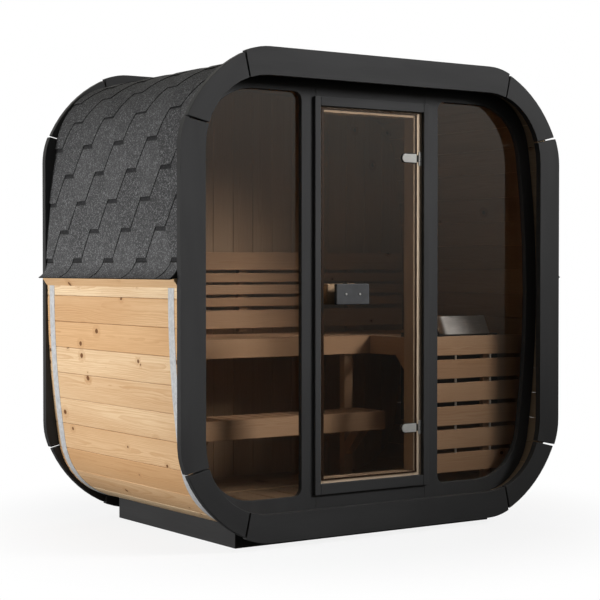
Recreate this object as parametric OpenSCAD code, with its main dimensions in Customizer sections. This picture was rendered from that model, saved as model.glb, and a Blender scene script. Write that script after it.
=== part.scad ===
// Cube sauna: a short, slightly bulging square tube of staves standing on a low plinth.
// Glazed front wall with a glass door, shingled upper half, benches and a guarded heater.
// Every depth below is counted from the front face of the front fascia ring.

/* [Cabin] */
// overall depth over both fascia rings
cabin_depth = 1264; // [900:2:2400]
// width and height of the stave tube across its bulge
shell_size = 2040; // [1600:10:2400]
// stave thickness
stave_t = 42; // [28:1:60]
// radius of the bulge on each side
bulge_r = 4400; // [3000:50:9000]
// outer radius of the tube corners
corner_r = 327; // [200:1:500]
// underside of the tube above the ground
ground_gap = 42; // [20:1:120]

/* [Plinth] */
// half of the plinth width
plinth_half = 697; // [500:1:900]
// thickness of the plinth boards
plinth_t = 40; // [20:1:60]
// height of the plinth boards before the tube is cut out of them
plinth_h = 124; // [80:1:200]
// depth at which the plinth starts
plinth_front = 123; // [60:1:250]
// depth at which the plinth ends
plinth_back = 1146; // [700:1:2300]

/* [Fascia rings] */
// thickness of the fascia boards
fascia_t = 30; // [18:1:45]
// half of the ring width, outer edge
fascia_outer = 1030; // [1000:1:1100]
// half of the ring width, inner edge
fascia_inner = 912; // [850:1:980]
// inner corner radius of the ring
fascia_inner_r = 314; // [200:1:450]
// radius of the rounded ends of the straight boards
board_end_r = 300; // [150:5:450]
// angle over which those ends are rounded
board_end_a = 40; // [20:1:60]
// set-back of those rounded ends
board_end_set = 126; // [60:1:250]
// outer radius of the corner boards
corner_board_r = 567; // [400:1:700]
// centre of the corner board arc, from the tube centre
corner_board_c = 484; // [350:1:600]
// angle of the cuts between boards
joint_angle = 12.5; // [5:0.5:25]
// half of the wedge left open between two boards, in degrees
joint_open = 0.7; // [0.2:0.1:2]

/* [Walls and windows] */
// depth of the front face of the front wall
wall_front = 100; // [60:1:200]
// thickness of the front and back walls
wall_t = 42; // [28:1:60]
// depth of the outer face of the glass
glass_front = 124; // [100:1:160]
// thickness of the window glass
glass_t = 6; // [4:1:12]
// half height of the windows
window_h = 865; // [600:1:900]
// side of a window next to the door, from the centre line
window_x = 375; // [330:1:600]
// distance of the outer window edge from the tube surface
window_margin = 105; // [70:1:180]
// outer corner radius of the windows
window_r = 250; // [60:5:350]
// corner radius beside the door
window_small_r = 36; // [10:1:80]
// rebate for the glass
rebate = 14; // [6:1:25]

/* [Door frame] */
// half of the doorway in the wall
doorway_x = 300; // [260:1:340]
// underside of the doorway, from the tube centre
doorway_low = -835; // [-880:1:-760]
// top of the doorway, from the tube centre
doorway_top = 830; // [700:1:860]
// depth of the frame face, proud of the wall
frame_front = 85; // [60:1:98]
// half width over the frame
frame_x = 313; // [290:1:350]
// half width of the frame opening
opening_x = 283; // [240:1:300]
// underside of the frame face
frame_low = -865; // [-900:1:-820]
// top of the frame face
frame_top = 849; // [800:1:880]
// underside of the frame opening
opening_low = -819; // [-860:1:-780]
// top of the frame opening
opening_top = 810; // [760:1:850]
// front of the timber stop behind the door
stop_front = 104; // [104:1:130]
// back of the timber stop
stop_back = 173; // [150:1:220]
// inner edge of the stop on the hinge side
stop_x = 238; // [200:1:270]
// inner edge of the stop on the latch side
latch_x = 260; // [200:1:275]
// underside of the gap between the stops
stop_low = -798; // [-830:1:-740]
// top of the gap between the stops
stop_top = 785; // [700:1:800]

/* [Door] */
// thickness of the door glass
door_t = 8; // [6:1:12]
// depth of the outer face of the door glass
door_front = 91; // [90:1:104]
// left edge of the door glass
door_left = -277; // [-278:1:-240]
// right edge of the door glass
door_right = 247; // [230:1:270]
// underside of the door glass
door_low = -803; // [-815:1:-780]
// top of the door glass
door_top = 800; // [760:1:805]
// hinge axis, from the centre line
hinge_x = 251; // [245:1:275]
// depth of the hinge axis
hinge_y = 91; // [85:1:106]
// height of each hinge above and below the tube centre
hinge_z = 603; // [400:1:700]
// rounded end of a hinge clamp, from the centre line
clamp_left = 160; // [100:1:200]
// flat end of the clamp in front of the glass
clamp_flat = 240; // [220:1:255]
// height of a hinge clamp
clamp_h = 38; // [25:1:60]
// thickness of the clamp in front of the glass
clamp_t = 7; // [4:1:10]
// thickness of the clamp behind the glass
clamp_rear_t = 4; // [2:0.5:5]
// right end of the clamp behind the glass
clamp_rear = 233; // [200:1:240]
// hinge barrel radius
barrel_r = 4; // [3:0.5:8]
// height of the hinge barrel and the knuckle that carries it
barrel_h = 30; // [15:1:60]
// thickness of the hinge plate on the stop
plate_t = 3; // [1:0.5:5]
// height of the hinge plate on the stop
plate_h = 62; // [40:1:90]
// left edge of the hinge plate on the stop
plate_left = 266; // [255:1:275]
// width of the outer handle
handle_w = 176; // [100:1:200]
// height of the handles
handle_h = 90; // [60:1:140]
// centre of the outer handle, from the centre line
handle_x = -144; // [-180:1:-80]
// reach of the outer handle in front of the glass
handle_reach = 50; // [30:1:70]
// thickness of the outer handle's face block
handle_t = 20; // [10:1:40]
// the spacer behind it is set in by this at top and bottom
spacer_inset = 12; // [4:1:30]
// the spacer starts this far left of the handle's centre
spacer_left = 40; // [10:1:70]
// left edge of the inner handle
inner_left = -240; // [-240:1:-150]
// right edge of the inner handle
inner_right = -80; // [-120:1:0]
// thickness of the inner handle
inner_t = 38; // [20:1:60]
// places of the handle screws, from the centre line
screw_x = [-182, -108]; // [-240:1:-60]
// radius of the screw heads
screw_r = 5; // [2:0.5:10]
// height of the screw heads
screw_h = 3; // [1:0.5:6]

/* [Roof] */
// thickness of the shingle layer
shingle_t = 9; // [4:1:15]
// lower edge of the shingles, from the tube centre
eave_z = 73; // [0:1:300]
// radius of the flare that carries the shingles out over the eave
eave_r = 78; // [40:1:150]
// angle through which the flare turns
eave_a = 60; // [20:1:80]
// height of the bevelled batten under the eave
batten_h = 40; // [20:1:60]
// height of the batten's upright face
batten_face = 10; // [4:1:30]
// reach of the batten from the centre line
batten_x = 1044; // [1030:1:1060]

/* [Steel bands] */
// band width
band_w = 48; // [25:1:80]
// band thickness
band_t = 1.5; // [0.8:0.1:3]
// depth of the centre of the front band
band_front_y = 92; // [60:1:200]
// depth of the centre of the rear band
band_rear_y = 1185; // [800:1:2300]

/* [Benches] */
// timber thickness of benches, guard and braces
board_t = 28; // [18:1:45]
// top of the upper bench, from the tube centre
upper_z = -210; // [-400:1:0]
// front of the upper bench
upper_front = 600; // [400:1:900]
// top of the lower bench
lower_z = -555; // [-700:1:-400]
// front of the lower bench
lower_front = 405; // [250:1:600]
// right end of the lower bench
lower_right = 310; // [0:1:600]
// height of the bench fascias
fascia_h = 86; // [50:1:140]
// width of the bench posts
post_x = 50; // [30:1:80]
// thickness of the bench posts
post_y = 40; // [30:1:80]
// left edge of the right-hand post
post_left = 237; // [100:1:500]
// left edge of the left-hand post
post_far = -640; // [-800:1:-300]
// depth at which the lower bench ends
lower_back = 620; // [500:1:800]
// width of the braces under the lower bench
brace_w = 62; // [30:1:90]

/* [Backrest] */
// depth of the backrest boards
rest_front = 1064; // [900:1:2200]
// tops of the backrest boards, from the tube centre
rest_tops = [189, 88, 31, -31, -93]; // [-200:1:300]
// heights of those boards
rest_heights = [86, 45, 47, 44, 89]; // [20:1:150]
// half length of the backrest boards
rest_half = 930; // [600:1:950]
// left edges of the battens behind them
rest_batten_x = [-640, -62, 596]; // [-900:1:900]
// width of those battens
rest_batten_w = 45; // [20:1:70]
// the battens end this far short of the boards and the bench
rest_margin = 10; // [0:1:30]

/* [Heater] */
// side of the heater towards the door
heater_left = 533; // [500:1:750]
// side of the heater on the wall
heater_right = 900; // [800:1:930]
// front of the heater
heater_front = 282; // [250:1:450]
// back of the heater
heater_back = 572; // [500:1:590]
// underside of the heater, from the tube centre
heater_low = -620; // [-800:1:-500]
// top of the heater, from the tube centre
heater_top = -200; // [-300:1:-150]
// thickness of the heater casing
heater_wall = 12; // [3:1:30]
// height of the closed part of the heater
heater_base = 60; // [20:1:200]
// left end of the sloping collar
collar_left = 578; // [500:1:750]
// right end of the sloping collar
collar_right = 862; // [800:1:960]
// height of the sloping collar
collar_h = 84; // [40:1:140]
// how far the collar leans back
collar_lean = 42; // [20:1:100]
// thickness of the collar
collar_t = 6; // [2:1:12]
// depth of the sides folded back from the collar
collar_side = 48; // [20:1:90]

/* [Heater guard] */
// corner of the guard towards the door
guard_left = 367; // [300:1:500]
// depth of the guard slats
guard_front = 179; // [150:1:380]
// number of slats
guard_n = 6; // [4:1:9]
// slat pitch
guard_pitch = 108.5; // [80:0.5:140]
// slat height
guard_slat = 88; // [60:1:120]
// top of the guard below the upper bench
guard_drop = -6; // [-10:1:30]
// gap between the guard slats and the tube
guard_gap = 6; // [2:1:20]
// width of the guard posts
guard_post_w = 45; // [20:1:70]
// thickness of the guard posts
guard_post_t = 25; // [15:1:40]
// left edge of the guard post near the heater
guard_post_x = 740; // [600:1:900]
// top of the guard posts below the upper bench
guard_post_drop = 20; // [5:1:60]
// legs of the brace under the guard rail
guard_brace = 195; // [30:1:220]

/* [Output] */
// sub-part to show

/* [Hidden] */
$fn = 48;
fit = 0.3;
half = shell_size / 2;
centre_z = half + ground_gap;
front_y = -cabin_depth / 2;
bulge_k = bulge_r - half;
reach = bulge_r - corner_r;
corner_c = (sqrt(2 * reach * reach - bulge_k * bulge_k) - bulge_k) / 2;
bulge_a = atan2(corner_c, bulge_k + corner_c);
n_bulge = 12;
n_corner = 8;
far = 2 * shell_size;
tuck = 30;
shingle_x = half + shingle_t;
eave_top = eave_z + eave_r * sin(eave_a);
inner_depth = cabin_depth - fascia_t;
back_wall_y = cabin_depth - wall_front - wall_t;
n_small = 4;
n_round = 8;
n_side = 6;
n_curve = 10;
n_board = 20;
play = 1;

paint = [0.22, 0.22, 0.22];
timber = [0.80, 0.62, 0.42];
pane = [0.35, 0.36, 0.34, 0.5];
steel = [0.75, 0.76, 0.77];
tar = [0.30, 0.30, 0.31];

function turn(q, p) = q == 0 ? p : turn(q - 1, [-p[1], p[0]]);
function arc(cx, cz, r, a0, a1, n) =
  [for (i = [0:n]) [cx + r * cos(a0 + (a1 - a0) * i / n), cz + r * sin(a0 + (a1 - a0) * i / n)]];
// quarter of the tube section, moved inwards by d, without its last point
function quarter(d) = concat(
  arc(-bulge_k, 0, bulge_r - d, -bulge_a, bulge_a, n_bulge),
  [for (i = [1:n_corner - 1])
    let (a = bulge_a + (90 - 2 * bulge_a) * i / n_corner)
    [corner_c + (corner_r - d) * cos(a), corner_c + (corner_r - d) * sin(a)]]
);
function section(d) = [for (q = [0:3], p = quarter(d)) turn(q, p)];
// window outline on the right side, grown outwards by e
function window_points(e) =
  let (
    h = window_h + e,
    x = window_x - e,
    s = window_small_r + e,
    r = window_r + e,
    side = bulge_r - window_margin + e,
    cz = h - r,
    cx = sqrt(pow(side - r, 2) - cz * cz) - bulge_k,
    a = atan2(cz, cx + bulge_k)
  )
  concat(
    arc(x + s, h - s, s, 180, 90, n_small),
    arc(cx, cz, r, 90, a, n_round),
    [for (i = [1:n_side - 1])
      let (b = a - 2 * a * i / n_side) [side * cos(b) - bulge_k, side * sin(b)]],
    arc(cx, -cz, r, -a, -90, n_round),
    arc(x + s, s - h, s, -90, -180, n_small)
  );

// extrude a section drawn as x and height, between two depths
module slab(from, to) {
  translate([0, front_y + to, centre_z])
    rotate([90, 0, 0])
      linear_extrude(height = to - from)
        children();
}
// box in x, depth and height from the tube centre
module block(x0, x1, y0, y1, z0, z1) {
  translate([x0, front_y + y0, centre_z + z0])
    cube([x1 - x0, y1 - y0, z1 - z0]);
}
module tube(d0, d1) {
  difference() {
    polygon(section(d0));
    polygon(section(d1));
  }
}
module both_sides() {
  children();
  mirror([1, 0, 0])
    children();
}
module inside_tube(gap) {
  slab(wall_front, back_wall_y)
    polygon(section(stave_t + gap));
}
module shell_part(x0, x1, z0, z1) {
  slab(fascia_t, inner_depth)
    intersection() {
      tube(0, stave_t);
      translate([x0, z0])
        square([x1 - x0, z1 - z0]);
    }
}

// plinth
module plinth_sides() {
  color(paint)
    both_sides()
      slab(plinth_front, plinth_back)
        difference() {
          translate([plinth_half - plinth_t, -centre_z])
            square([plinth_t, plinth_h]);
          polygon(section(0));
        }
}
module plinth_end(y) {
  slab(y, y + plinth_t)
    difference() {
      translate([plinth_t - plinth_half, -centre_z])
        square([2 * (plinth_half - plinth_t), plinth_h]);
      polygon(section(0));
    }
}
module plinth_ends() {
  color(paint) {
    plinth_end(plinth_front);
    plinth_end(plinth_back - plinth_t);
  }
}

// stave tube in six parts
module shell_floor() {
  color(timber)
    shell_part(-corner_c, corner_c, -far, 0);
}
module shell_roof() {
  color(timber)
    shell_part(-corner_c, corner_c, 0, far);
}
module shell_left() {
  color(timber)
    shell_part(-far, 0, -corner_c, corner_c);
}
module shell_right() {
  color(timber)
    shell_part(0, far, -corner_c, corner_c);
}
module shell_corners_lower() {
  color(timber)
    both_sides()
      shell_part(corner_c + fit, far, -far, -corner_c - fit);
}
module shell_corners_upper() {
  color(timber)
    both_sides()
      shell_part(corner_c + fit, far, corner_c + fit, far);
}

// end walls
module back_wall() {
  color(timber)
    slab(back_wall_y, back_wall_y + wall_t)
      polygon(section(stave_t));
}
module glazed_part() {
  slab(wall_front, glass_front)
    difference() {
      intersection() {
        polygon(section(stave_t));
        translate([doorway_x, -far])
          square([far, 2 * far]);
      }
      polygon(window_points(0));
    }
  slab(glass_front, wall_front + wall_t)
    difference() {
      intersection() {
        polygon(section(stave_t));
        translate([doorway_x, -far])
          square([far, 2 * far]);
      }
      polygon(window_points(rebate));
    }
}
module front_wall_right() {
  color(paint)
    glazed_part();
}
module front_wall_left() {
  color(paint)
    mirror([1, 0, 0])
      glazed_part();
}
module wall_strip(z0, z1) {
  slab(wall_front, wall_front + wall_t)
    intersection() {
      polygon(section(stave_t));
      translate([-doorway_x, z0])
        square([2 * doorway_x, z1 - z0]);
    }
}
module front_wall_head() {
  color(paint)
    wall_strip(doorway_top, far);
}
module front_wall_sill() {
  color(paint)
    wall_strip(-far, doorway_low);
}
module window_sheet() {
  slab(glass_front, glass_front + glass_t)
    polygon(window_points(rebate - play));
}
module window_right_glass() {
  color(pane)
    window_sheet();
}
module window_left_glass() {
  color(pane)
    mirror([1, 0, 0])
      window_sheet();
}

// door frame
module door_jambs() {
  color(paint) {
    both_sides() {
      block(opening_x, frame_x, frame_front, wall_front, frame_low, frame_top);
      block(opening_x, doorway_x, wall_front, stop_front, doorway_low, doorway_top);
    }
    block(stop_x, doorway_x, stop_front, stop_back, doorway_low, doorway_top);
    block(-doorway_x, -latch_x, stop_front, stop_back, doorway_low, doorway_top);
  }
}
module door_head() {
  color(paint) {
    block(-opening_x, opening_x, frame_front, wall_front, opening_top, frame_top);
    block(-opening_x, opening_x, wall_front, stop_front, opening_top, doorway_top);
    block(-latch_x, stop_x, stop_front, stop_back, stop_top, doorway_top);
  }
}
module door_threshold() {
  color(paint) {
    block(-opening_x, opening_x, frame_front, wall_front, frame_low, opening_low);
    block(-opening_x, opening_x, wall_front, stop_front, doorway_low, opening_low);
    block(-latch_x, stop_x, stop_front, stop_back, doorway_low, stop_low);
  }
}

// fascia boards
module corner_wedge(a0, a1) {
  translate([corner_c, corner_c])
    polygon([[0, 0], [far * cos(a0), far * sin(a0)], [far * cos(a1), far * sin(a1)]]);
}
module fascia_hole() {
  c = fascia_inner - fascia_inner_r;
  polygon([for (q = [0:3], p = arc(c, c, fascia_inner_r, 0, 90, n_curve)) turn(q, p)]);
}
// right-hand straight board between the corner cuts
module straight_board() {
  a = joint_angle - joint_open;
  span = fascia_outer - board_end_r;
  end_z = corner_c + (fascia_outer - corner_c) * tan(a) - board_end_set;
  difference() {
    polygon(concat(
      [[corner_c, -corner_c]],
      [for (p = arc(span, end_z, board_end_r, board_end_a, 0, n_round)) [p[0], -p[1]]],
      arc(span, end_z, board_end_r, 0, board_end_a, n_round),
      [[corner_c, corner_c]]
    ));
    fascia_hole();
    corner_wedge(a, 90);
    mirror([0, 1])
      corner_wedge(a, 90);
  }
}
module corner_board() {
  a = joint_angle + joint_open;
  difference() {
    intersection() {
      polygon(concat([[0, 0]], arc(corner_board_c, corner_board_c, corner_board_r, 0, 90, n_board)));
      corner_wedge(a, 90 - a);
    }
    fascia_hole();
  }
}
module fascia_boards(from) {
  slab(from, from + fascia_t)
    for (q = [0:3])
      rotate(90 * q)
        straight_board();
}
module fascia_corners(from) {
  slab(from, from + fascia_t)
    for (q = [0:3])
      rotate(90 * q)
        corner_board();
}
module front_fascia_boards() {
  color(paint)
    fascia_boards(0);
}
module front_fascia_corners() {
  color(paint)
    fascia_corners(0);
}
module rear_fascia_boards() {
  color(paint)
    fascia_boards(inner_depth);
}
module rear_fascia_corners() {
  color(paint)
    fascia_corners(inner_depth);
}

// roof covering
module roof_shingles() {
  color(tar)
    slab(fascia_t, inner_depth)
      intersection() {
        tube(-shingle_t, 0);
        translate([-far, eave_top])
          square([2 * far, far]);
      }
}
module drip_edges() {
  color(tar)
    both_sides()
      slab(fascia_t, inner_depth)
        difference() {
          polygon(concat(
            [[half - tuck, eave_z]],
            arc(shingle_x + eave_r, eave_top, eave_r, 180 + eave_a, 180, n_curve),
            [[half - tuck, eave_top]]
          ));
          polygon(section(0));
        }
}
module drip_battens() {
  color(timber)
    both_sides()
      slab(fascia_t, inner_depth)
        difference() {
          polygon([
            [half - tuck, eave_z - batten_h],
            [half + band_t, eave_z - batten_h],
            [batten_x, eave_z - batten_face],
            [batten_x, eave_z],
            [half - tuck, eave_z]
          ]);
          polygon(section(0));
        }
}
module steel_band(y) {
  slab(y - band_w / 2, y + band_w / 2)
    intersection() {
      tube(-band_t, 0);
      translate([-far, -far])
        square([2 * far, far + eave_z - batten_h - fit]);
    }
}
module steel_band_front() {
  color(steel)
    steel_band(band_front_y);
}
module steel_band_rear() {
  color(steel)
    steel_band(band_rear_y);
}

// benches
module upper_bench() {
  color(timber)
    intersection() {
      union() {
        block(-far, far, upper_front, back_wall_y - fit, upper_z - board_t, upper_z);
        block(-far, far, upper_front, upper_front + board_t, upper_z - fascia_h, upper_z);
      }
      inside_tube(fit);
    }
}
module lower_bench() {
  color(timber)
    intersection() {
      union() {
        block(-far, lower_right, lower_front, lower_back, lower_z - board_t, lower_z);
        block(-far, lower_right, lower_front, lower_front + board_t, lower_z - fascia_h, lower_z);
      }
      inside_tube(fit);
    }
}
module bench_posts() {
  color(timber)
    intersection() {
      for (x = [post_left, post_far])
        block(x, x + post_x, upper_front + board_t, upper_front + board_t + post_y,
          -far, upper_z - board_t);
      inside_tube(0);
    }
}
module bench_braces() {
  y0 = lower_front + board_t;
  y1 = upper_front + board_t;
  z1 = lower_z - board_t;
  rise = y1 - y0;
  color(timber)
    for (x = [post_left, post_far])
      translate([x, front_y, centre_z])
        rotate([90, 0, 90])
          linear_extrude(height = post_x)
            polygon([[y0, z1], [y1, z1 - rise], [y1, z1 - rise + brace_w], [y0 + brace_w, z1]]);
}
module backrest_boards() {
  color(timber)
    for (i = [0:len(rest_tops) - 1])
      block(-rest_half, rest_half, rest_front, rest_front + board_t,
        rest_tops[i] - rest_heights[i], rest_tops[i]);
}
module backrest_battens() {
  color(timber)
    for (x = rest_batten_x)
      block(x, x + rest_batten_w, rest_front + board_t, back_wall_y,
        upper_z + rest_margin, rest_tops[0] - rest_margin);
}

// heater with its guard
module heater_body() {
  color(paint)
    difference() {
      block(heater_left, heater_right, heater_front, heater_back, heater_low, heater_top);
      block(heater_left + heater_wall, heater_right - heater_wall,
        heater_front + heater_wall, heater_back - heater_wall, heater_low + heater_base, far);
    }
}
// outline of the collar seen from the side, w deep
module collar_section(w) {
  y = heater_front + heater_wall - collar_t;
  polygon([
    [y, heater_top],
    [y + w, heater_top],
    [y + collar_lean + w, heater_top + collar_h],
    [y + collar_lean, heater_top + collar_h]
  ]);
}
module heater_collar() {
  color(steel)
    translate([0, front_y, centre_z])
      rotate([90, 0, 90]) {
        translate([0, 0, collar_left])
          linear_extrude(height = collar_right - collar_left)
            collar_section(collar_t);
        for (x = [collar_left, collar_right - collar_t])
          translate([0, 0, x])
            linear_extrude(height = collar_t)
              collar_section(collar_side);
      }
}
module heater_guard() {
  color(timber)
    intersection() {
      for (i = [0:guard_n - 1]) {
        top = upper_z - guard_drop - i * guard_pitch;
        block(guard_left, far, guard_front, guard_front + board_t, top - guard_slat, top);
      }
      inside_tube(guard_gap);
    }
}
module guard_posts() {
  color(timber)
    intersection() {
      for (x = [guard_left + board_t, guard_post_x])
        block(x, x + guard_post_w, guard_front + board_t, guard_front + board_t + guard_post_t,
          -far, upper_z - guard_post_drop);
      inside_tube(0);
    }
}
module guard_rail() {
  y0 = guard_front + board_t;
  z1 = upper_z - fascia_h;
  color(timber) {
    block(guard_left, guard_left + board_t, y0, upper_front, z1, upper_z);
    translate([guard_left, front_y, centre_z])
      rotate([90, 0, 90])
        linear_extrude(height = board_t)
          polygon([[y0, z1], [y0, z1 - guard_brace], [y0 + guard_brace, z1]]);
  }
}

// door and hinges
module hinge_plates() {
  color(steel)
    for (z = [-hinge_z, hinge_z])
      block(plate_left, opening_x - play, stop_front - plate_t, stop_front,
        z - plate_h / 2, z + plate_h / 2);
}
module door_glass() {
  color(pane)
    block(door_left, door_right, door_front, door_front + door_t, door_low, door_top);
}
// clamp plate with one rounded end, up to a flat end at x
module clamp_shape(x) {
  r = clamp_h / 2;
  translate([clamp_left + r, 0])
    circle(r);
  translate([clamp_left + r, -r])
    square([x - clamp_left - r, clamp_h]);
}
module hinge_clamps() {
  color(steel)
    for (z = [-hinge_z, hinge_z]) {
      translate([0, 0, z]) {
        slab(door_front - clamp_t, door_front)
          clamp_shape(clamp_flat);
        slab(door_front + door_t, door_front + door_t + clamp_rear_t)
          clamp_shape(clamp_rear);
      }
      block(clamp_flat, hinge_x, door_front - clamp_t, hinge_y, z - barrel_h / 2, z + barrel_h / 2);
      translate([hinge_x, front_y + hinge_y, centre_z + z - barrel_h / 2])
        cylinder(h = barrel_h, r = barrel_r);
    }
}
module handle_outer() {
  color(paint) {
    block(handle_x - handle_w / 2, handle_x + handle_w / 2,
      door_front - handle_reach, door_front - handle_reach + handle_t, -handle_h / 2, handle_h / 2);
    block(handle_x - spacer_left, handle_x + handle_w / 2,
      door_front - handle_reach + handle_t, door_front,
      spacer_inset - handle_h / 2, handle_h / 2 - spacer_inset);
  }
}
module handle_inner() {
  color(timber)
    block(inner_left, inner_right, door_front + door_t, door_front + door_t + inner_t,
      -handle_h / 2, handle_h / 2);
}
module handle_screws() {
  color(steel)
    for (x = screw_x)
      translate([x, front_y + door_front - handle_reach, centre_z])
        rotate([90, 0, 0])
          cylinder(h = screw_h, r = screw_r);
}

plinth_sides();
plinth_ends();
shell_floor();
shell_left();
shell_right();
shell_roof();
shell_corners_lower();
shell_corners_upper();
back_wall();
front_wall_left();
front_wall_right();
front_wall_head();
front_wall_sill();
window_left_glass();
window_right_glass();
door_jambs();
door_head();
door_threshold();
front_fascia_boards();
front_fascia_corners();
rear_fascia_boards();
rear_fascia_corners();
roof_shingles();
drip_battens();
drip_edges();
steel_band_front();
steel_band_rear();
upper_bench();
lower_bench();
bench_posts();
bench_braces();
backrest_boards();
backrest_battens();
heater_body();
heater_collar();
heater_guard();
guard_posts();
guard_rail();
hinge_plates();
door_glass();
hinge_clamps();
handle_outer();
handle_inner();
handle_screws();
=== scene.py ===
import math
import random

import bpy
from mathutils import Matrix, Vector


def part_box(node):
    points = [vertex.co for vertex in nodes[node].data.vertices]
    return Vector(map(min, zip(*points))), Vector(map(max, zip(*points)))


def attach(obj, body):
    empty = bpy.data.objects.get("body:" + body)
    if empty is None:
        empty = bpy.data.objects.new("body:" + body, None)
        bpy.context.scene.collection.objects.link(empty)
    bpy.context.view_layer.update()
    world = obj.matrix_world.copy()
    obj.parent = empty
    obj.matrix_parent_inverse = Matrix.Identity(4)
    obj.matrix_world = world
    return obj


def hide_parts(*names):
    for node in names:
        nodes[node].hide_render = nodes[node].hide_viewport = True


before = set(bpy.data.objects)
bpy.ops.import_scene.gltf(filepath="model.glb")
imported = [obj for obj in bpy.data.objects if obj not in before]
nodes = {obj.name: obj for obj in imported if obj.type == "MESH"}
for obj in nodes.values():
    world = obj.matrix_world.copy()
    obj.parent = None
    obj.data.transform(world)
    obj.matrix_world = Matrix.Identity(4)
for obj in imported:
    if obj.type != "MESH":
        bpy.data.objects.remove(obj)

random.seed(41)
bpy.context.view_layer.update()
print("frame loaded", len(nodes), "nodes")


def pickOnly(piece):
    bpy.ops.object.select_all(action="DESELECT")
    piece.select_set(True)
    bpy.context.view_layer.objects.active = piece


def openEdit(piece, mode="VERT"):
    pickOnly(piece)
    bpy.ops.object.mode_set(mode="EDIT")
    bpy.ops.mesh.select_mode(type=mode)
    bpy.ops.mesh.select_all(action="SELECT")


def closeEdit():
    bpy.ops.object.mode_set(mode="OBJECT")


def pickParts(piece, kind, test):
    # kind is "vertices", "edges" or "polygons"; leaves edit mode open with only the wanted parts picked
    modes = {"vertices": "VERT", "edges": "EDGE", "polygons": "FACE"}
    openEdit(piece, modes[kind])
    bpy.ops.mesh.select_all(action="DESELECT")
    closeEdit()
    for part in getattr(piece.data, kind):
        part.select = bool(test(part))
    pickOnly(piece)
    bpy.ops.object.mode_set(mode="EDIT")


def edgeEnds(mesh, edge):
    return mesh.vertices[edge.vertices[0]].co, mesh.vertices[edge.vertices[1]].co


def edgeSpan(mesh, edge):
    first, second = edgeEnds(mesh, edge)
    return second - first


def joinPieces(pieces, name):
    bpy.ops.object.select_all(action="DESELECT")
    for piece in pieces:
        piece.select_set(True)
    bpy.context.view_layer.objects.active = pieces[0]
    if len(pieces) > 1:
        bpy.ops.object.join()
    pieces[0].name = name
    pieces[0].data.name = name
    return pieces[0]


def turnOutwards(piece):
    openEdit(piece)
    bpy.ops.mesh.normals_make_consistent(inside=False)
    closeEdit()
    return piece


def copyPiece(piece, name):
    twin = bpy.data.objects.new(name, piece.data.copy())
    bpy.context.scene.collection.objects.link(twin)
    return twin


def boardLayers(mesh):
    # both layers exist before either is fetched, because adding one moves the other
    for name, kind in (("grain", "FLOAT_VECTOR"), ("tone", "FLOAT")):
        if name not in mesh.attributes:
            mesh.attributes.new(name, kind, "POINT")
    return mesh.attributes["grain"], mesh.attributes["tone"]


def middleOf(mesh):
    return sum((v.co for v in mesh.vertices), Vector()) / len(mesh.vertices)


# where in its log a board was sawn
log = {"length": 40, "aside": 0.03, "nearHeart": 0.02, "farHeart": 0.07}


def putGrain(piece, along, across, through):
    # remembers where each point sits in its own board, so that the timber pattern follows the board
    shift = Vector((random.uniform(0, log["length"]), random.uniform(-log["aside"], log["aside"]),
                    random.uniform(log["nearHeart"], log["farHeart"])))
    mesh = piece.data
    grain, shade = boardLayers(mesh)
    level = random.random()
    centre = middleOf(mesh)
    for index, vertex in enumerate(mesh.vertices):
        place = vertex.co - centre
        spot = Vector((place.dot(along), place.dot(across), place.dot(through)))
        grain.data[index].vector = spot + shift
        shade.data[index].value = level


xWay, yWay, zWay = Vector((1, 0, 0)), Vector((0, 1, 0)), Vector((0, 0, 1))
grainWays = {"x": (xWay, zWay, yWay), "y": (yWay, xWay, zWay), "z": (zWay, xWay, yWay),
             "side": (yWay, zWay, xWay)}


def addBlock(name, middle, size):
    bpy.ops.object.select_all(action="DESELECT")
    bpy.ops.mesh.primitive_cube_add(size=1, location=middle, scale=size)
    block = bpy.context.object
    block.name = name
    bpy.ops.object.transform_apply(location=True, rotation=True, scale=True)
    return block


def addSheet(name, size, cuts, middle=(0, 0, 0)):
    # a flat sheet, cut across and along so that it can be bent
    bpy.ops.object.select_all(action="DESELECT")
    bpy.ops.mesh.primitive_grid_add(x_subdivisions=cuts[0], y_subdivisions=cuts[1], size=1, location=middle)
    sheet = bpy.context.object
    sheet.name = name
    sheet.scale = (size[0], size[1], 1)
    bpy.ops.object.transform_apply(location=True, rotation=True, scale=True)
    return sheet


def thicken(piece, thick, side, rimFinish=0):
    # side is 1 to thicken along the faces' own direction and -1 to thicken against it
    pickOnly(piece)
    grown = piece.modifiers.new("thickness", "SOLIDIFY")
    grown.thickness = thick
    grown.offset = side
    grown.material_offset_rim = rimFinish
    bpy.ops.object.modifier_apply(modifier="thickness")


def addBoard(name, low, high, way, edge, steps=2):
    # a planed board between two corners, all edges eased
    low, high = Vector(low), Vector(high)
    board = addBlock(name, (low + high) / 2, high - low)
    openEdit(board, "EDGE")
    bpy.ops.mesh.bevel(offset=edge, segments=steps, profile=0.5, affect="EDGES")
    closeEdit()
    putGrain(board, *grainWays[way])
    return board


cleaning = {"doubles": 0.00002, "flatAngle": 0.4}    # metres and degrees


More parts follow.
